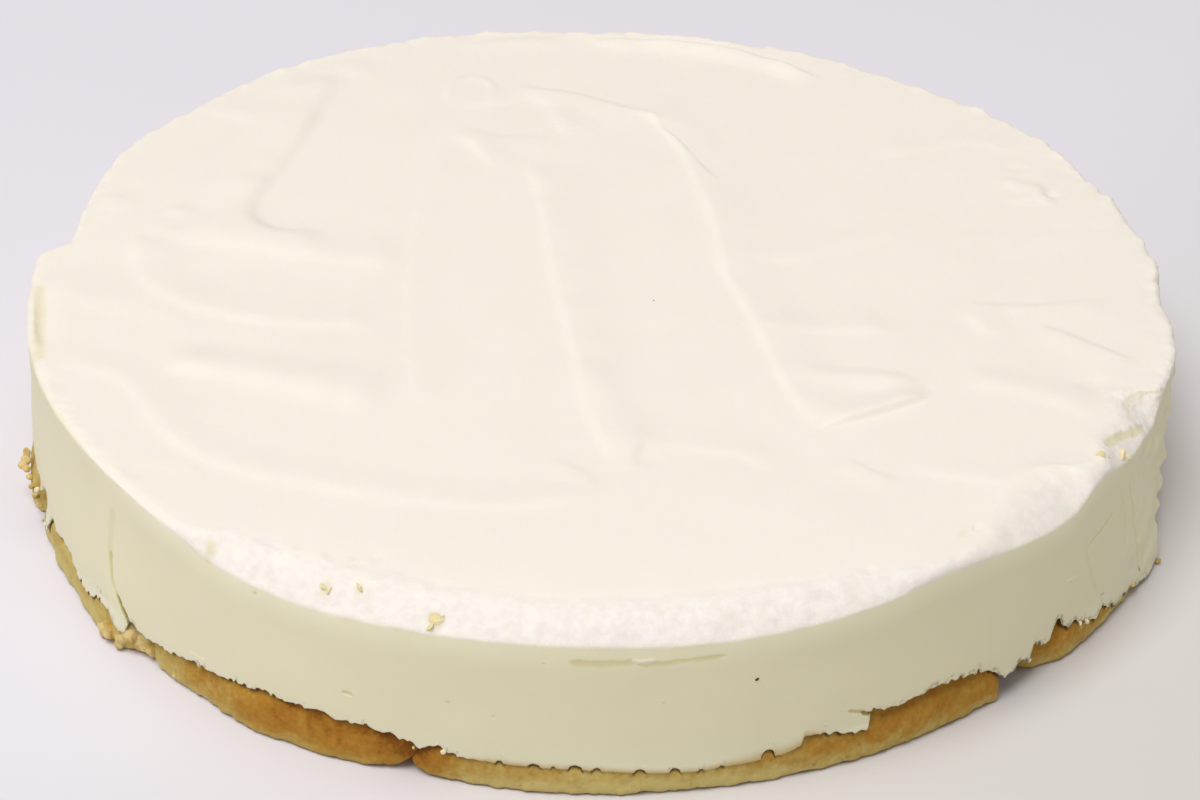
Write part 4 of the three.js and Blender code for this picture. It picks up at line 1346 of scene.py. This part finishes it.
GAP_STEEPNESS = 0.45  # mm that the heap leans in for each mm above its foot
GAP_FOOT = 2.5  # mm up to which the heap stands upright
LUMP_INPUTS = {
    "Geometry": "Geometry", "Seed": "Int", "Stretch": "Vector", "Grid": "Float", "Roughness": "Float",
    "Material": "Material",
}
ANY_TURN = ((0, 0, 0), (6.3, 6.3, 6.3))  # in radians
ANY_SHAPE = ((0.7, 0.7, 0.7), (1.25, 1.25, 1.25))  # least and most size along each axis
# The two sorts of unevenness on a lump: how many lumps to the metre, and the height in times its input.
LARGE_LUMPS, SMALL_LUMPS = (650.0, 3), (1500.0, 1.5)


def lump_tree():
    """Puts a lump, turned at random, on each point of a mesh, as large as the point's "size" says, then
    makes one rough skin of them all."""
    tree = bpy.data.node_groups.new("lumps", "GeometryNodeTree")
    for name, kind in LUMP_INPUTS.items():
        tree.interface.new_socket(name, in_out="INPUT", socket_type="NodeSocket" + kind)
    tree.interface.new_socket("Geometry", in_out="OUTPUT", socket_type="NodeSocketGeometry")
    given = Link(tree).node("NodeGroupInput")
    inputs = given.output.node.outputs
    seed, stretch, grid, roughness, material = (Link(tree, inputs[k]) for k in range(1, 6))
    ball = given.node("GeometryNodeMeshIcoSphere", {}, {"Radius": 1.0, "Subdivisions": 2})
    size = given.node("GeometryNodeInputNamedAttribute", {"data_type": "FLOAT"}, {"Name": "size"})

    def any_vector(least, most, seed):
        sockets = {0: least, 1: most, "Seed": seed}
        return given.node("FunctionNodeRandomValue", {"data_type": "FLOAT_VECTOR"}, sockets)

    turned = given.node("FunctionNodeEulerToRotation", {}, {"Euler": any_vector(*ANY_TURN, seed)})
    uneven = any_vector(*ANY_SHAPE, seed + 1)
    shape = given.node("ShaderNodeVectorMath", {"operation": "MULTIPLY"}, {0: uneven, 1: stretch})
    scale = given.node("ShaderNodeVectorMath", {"operation": "SCALE"}, {0: shape, "Scale": size})
    each = {"Points": given, "Instance": ball, "Rotation": turned, "Scale": scale}
    placed = given.node("GeometryNodeInstanceOnPoints", {}, each)
    real = given.node("GeometryNodeRealizeInstances", {}, {"Geometry": placed})
    normal = given.node("GeometryNodeInputNormal")

    def roughened(shape, scale, height):
        rise = given.node("ShaderNodeTexNoise", {}, {"Scale": scale, "Detail": 2.0}) - 0.5
        rise = rise * (roughness * height)
        push = given.node("ShaderNodeVectorMath", {"operation": "SCALE"}, {0: normal, "Scale": rise})
        return given.node("GeometryNodeSetPosition", {}, {"Geometry": shape, "Offset": push})

    lumpy = roughened(real, *LARGE_LUMPS)
    by_size = {"resolution_mode": "VOXEL_SIZE"}
    filled = given.node("GeometryNodeMeshToVolume", by_size, {"Mesh": lumpy, "Voxel Size": grid})
    skin = given.node("GeometryNodeVolumeToMesh", {}, {"Volume": filled})
    rough = roughened(skin, *SMALL_LUMPS)
    smooth = given.node("GeometryNodeSetShadeSmooth", {}, {"Geometry": rough})
    done = given.node("GeometryNodeSetMaterial", {}, {"Geometry": smooth, "Material": material})
    out = tree.nodes.new("NodeGroupOutput")
    tree.links.new(done.output, out.inputs[0])
    return tree


lumps = lump_tree()


def scatter(name, slot, places, sizes, material, seed, stretch, grid, roughness):
    """A piece of lumps at places in mm, with sizes in mm."""
    mesh = bpy.data.meshes.new(name)
    mesh.from_pydata((np.array(places) * MM).tolist(), [], [])
    keep_value(mesh, "size", np.array(sizes) * MM)
    piece = bpy.data.objects.new(name, mesh)
    bpy.context.scene.collection.objects.link(piece)
    modifier = piece.modifiers.new("lumps", "NODES")
    modifier.node_group = lumps
    inputs = {
        "Seed": seed, "Stretch": stretch, "Grid": grid * MM, "Roughness": roughness * MM, "Material": material
    }
    for socket in lumps.interface.items_tree:
        if socket.name in inputs:
            modifier[socket.identifier] = inputs[socket.name]
    made = bpy.data.meshes.new_from_object(piece.evaluated_get(bpy.context.evaluated_depsgraph_get()))
    piece.modifiers.clear()
    piece.data = made
    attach(piece, "root")


def crumb_material(name, pale, dark, soft):
    """A dull, soft material that varies between two colours."""
    material, shader, start = new_material(name)
    mottle = start.node("ShaderNodeTexCoord", output="Object").clouds(320.0, 4.0)
    body = {
        "Roughness": 0.8,
        "Specular IOR Level": 0.2,
        "Subsurface Weight": soft,
        "Subsurface Radius": (1.0, 0.7, 0.35),
        "Subsurface Scale": 1.5 * MM,
    }
    finish_material(shader, mottle.ramp(0.36, 0.64).towards(pale, dark), mottle, 0.5, 0.3, body)
    return material


chance = np.random.default_rng(17)
gap_angle, gap_reach, gap_height = np.array(TORN_GAP).T
angle = chance.uniform(gap_angle[0], gap_angle[-1], GAP_CRUMBS)
size = chance.uniform(*GAP_SIZES, GAP_CRUMBS)
# each lies somewhere between the table and the top of the heap, and further in the higher it lies
height = np.interp(angle, gap_angle, gap_height)
spare = (height - COVERED_HEIGHT * size).clip(0)
height = RESTING_HEIGHT * size + spare * chance.random(GAP_CRUMBS)
reach = np.interp(angle, gap_angle, gap_reach) - size - chance.uniform(0, GAP_UNEVENNESS, GAP_CRUMBS)
reach -= GAP_STEEPNESS * (height - GAP_FOOT).clip(0)
crumbs = np.array(SPONGE_CRUMBS)
scatter(
    "sponge_crumbs", "sponge",
    np.concatenate([polar(crumbs[:, 0], crumbs[:, 1], crumbs[:, 2]), polar(angle, reach, height)]),
    np.concatenate([crumbs[:, 3], size]),
    crumb_material("torn_sponge", rgb(222, 198, 138), rgb(188, 156, 78), 0.3),
    seed=3, stretch=(1, 1, 1), grid=0.22, roughness=0.4,
)

# ---- Mousse crumbs ----------------------------------------------------------------------------------
# Little torn flakes of mousse that the ring pulled off, hanging at the foot and at the far right.
MOUSSE_CRUMBS = [
    # angle, radius and height of the middle, and size, in degrees and mm
    (-160, 129.2, 9.8, 0.6), (-156.4, 129.7, 6, 0.5), (-13.4, 132.3, 15.6, 1.2), (-15.6, 131.9, 11, 1.1),
    (-38.6, 132.5, 7.6, 0.4), (-37.6, 132.7, 6.8, 0.5), (-35.8, 132.8, 6.4, 0.4), (-45.4, 130.8, 6, 0.4),
    (-103.4, 130.7, 8.9, 0.3), (-101.8, 130.7, 8.2, 0.4),
]
stuck = np.array(MOUSSE_CRUMBS)
scatter(
    "mousse_crumbs", "mousse", polar(stuck[:, 0], stuck[:, 1], stuck[:, 2]), stuck[:, 3],
    crumb_material("torn_mousse", rgb(242, 236, 214), rgb(230, 222, 186), 0.3),
    seed=5, stretch=(1, 1, 1.3), grid=0.2, roughness=0.6,
)

# ---- Lemon zest -------------------------------------------------------------------------------------
# Short, flat flecks of grated lemon zest that came to the surface, pale yellow, or olive where wet.
ZEST_ON_TOP = [
    # x, y and size, in mm
    (-49.9, -116.4, 1.2), (-49, -117.1, 1.0), (-43, -118.1, 1.1), (-27.9, -124.6, 1.4), (-26.7, -125.1, 1.1),
    (-29.2, -125.9, 1.3), (73.6, -102.9, 0.5), (-119, 14, 0.4), (105.4, -71.8, 1.3), (106.7, -70.4, 0.9),
]
# angle in degrees, then height and size in mm
ZEST_ON_WALL = [(-101.6, 20.7, 0.7), (-83.2, 23.2, 0.5), (-30.7, 39, 1.3), (-30.3, 38.3, 1.1)]
DARK_ZEST = [(-68, 32, 0.4), (14, -12, 0.4), (77.2, -96.7, 0.3)]
DARK_ZEST_ON_WALL = [(-75.2, 26.2, 0.6), (-80.4, 26.9, 0.25), (-118, 24, 0.2)]
SUNK = 0.25  # mm that a fleck's middle lies below the surface
ABOVE, OUTSIDE = 60, 150  # a height and a radius clear of the cake, to look for its skin from

skin_tree = BVHTree.FromObject(mousse, bpy.context.evaluated_depsgraph_get())


def on_skin(flecks, wall_flecks):
    """Places on the mousse for flecks at (x, y, size) on its top and (angle, z, size) on its wall."""
    found = []
    for x, y, _ in flecks:
        found.append(skin_tree.ray_cast(Vector((x, y, ABOVE)) * MM, Vector((0, 0, -1)))[:2])
    for angle, z, _ in wall_flecks:
        outside = Vector(polar(angle, OUTSIDE, z)) * MM
        found.append(skin_tree.ray_cast(outside, Vector((-outside.x, -outside.y, 0)))[:2])
    places = [place / MM - normal * SUNK for place, normal in found]
    return places, [size for *_, size in (*flecks, *wall_flecks)]


yellow_zest = crumb_material("yellow_zest", rgb(245, 232, 196), rgb(237, 217, 166), 0.4)
olive_zest = crumb_material("olive_zest", rgb(120, 108, 52), rgb(66, 58, 28), 0.0)
scatter(
    "zest_flecks", "mousse", *on_skin(ZEST_ON_TOP, ZEST_ON_WALL), yellow_zest,
    seed=7, stretch=(1.3, 1.0, 0.4), grid=0.1, roughness=0.3,
)
scatter(
    "zest_flecks_dark", "mousse", *on_skin(DARK_ZEST, DARK_ZEST_ON_WALL), olive_zest,
    seed=9, stretch=(1.2, 0.8, 0.6), grid=0.08, roughness=0.15,
)

# ---- Floor and light ---------------------------------------------------------------------------------
# A plain pale table top in soft studio light: a large soft light above the front left, and a
# pale surrounding that fills the shadows. The table top's colour is painted lighter at the back left
# and darker at the front right, as painted light falloff and shadow.
FLOOR_SIZE = 6.0
FLOOR_LIT_BACK_LEFT, FLOOR_SHADED_FRONT_RIGHT = rgb(233, 229, 238), rgb(216, 212, 208)
FLOOR_SHADE_DRIFT = 0.9  # for each metre
FLOOR_SHADE_LEVELS = (-0.05, 0.25)
FLOOR_ROUGHNESS = 0.6
KEY_LIGHT = {"azimuth": -129, "elevation": 67, "distance": 3.0, "size": 1.7, "power": 65}
SURROUNDING_COLOUR = (1.0, 0.985, 0.95, 1)
SURROUNDING_STRENGTH = 0.39


def build_floor():
    """A wide table top, painted lighter at the back left and darker at the front right as light falloff and
    shadow.
    """
    floor_points = np.array([[-1, -1, 0], [1, -1, 0], [1, 1, 0], [-1, 1, 0]]) * FLOOR_SIZE / 2 / MM
    floor = new_piece("floor", floor_points, [(0, 1, 2, 3)])
    material, shader, start = new_material("table_top")
    place = start.node("ShaderNodeTexCoord", output="Object")
    across = start.node("ShaderNodeSeparateXYZ", {}, {"Vector": place}, "X")
    back = start.node("ShaderNodeSeparateXYZ", {}, {"Vector": place}, "Y")
    # painted light and shadow across the table top
    shade = (across * FLOOR_SHADE_DRIFT - back * FLOOR_SHADE_DRIFT).ramp(*FLOOR_SHADE_LEVELS)
    colour = shade.towards(FLOOR_LIT_BACK_LEFT, FLOOR_SHADED_FRONT_RIGHT)
    start.tree.links.new(colour.output, shader.inputs["Base Color"])
    shader.inputs["Roughness"].default_value = FLOOR_ROUGHNESS
    floor.data.materials.append(material)


def soft_light(name, azimuth, elevation, distance, size, power):
    """A square light that faces the cake."""
    light = bpy.data.objects.new(name, bpy.data.lights.new(name, "AREA"))
    light.data.size = size
    light.data.energy = power
    turn, rise = math.radians(azimuth), math.radians(elevation)
    away = Vector((math.cos(rise) * math.cos(turn), math.cos(rise) * math.sin(turn), math.sin(rise)))
    facing = away.to_track_quat("Z", "Y").to_matrix().to_4x4()
    light.matrix_world = Matrix.Translation(away * distance) @ facing
    bpy.context.scene.collection.objects.link(light)


build_floor()
soft_light("key_light", **KEY_LIGHT)
world = bpy.data.worlds.new("studio")
world.use_nodes = True
background = world.node_tree.nodes["Background"]
background.inputs["Color"].default_value = SURROUNDING_COLOUR
background.inputs["Strength"].default_value = SURROUNDING_STRENGTH
bpy.context.scene.world = world
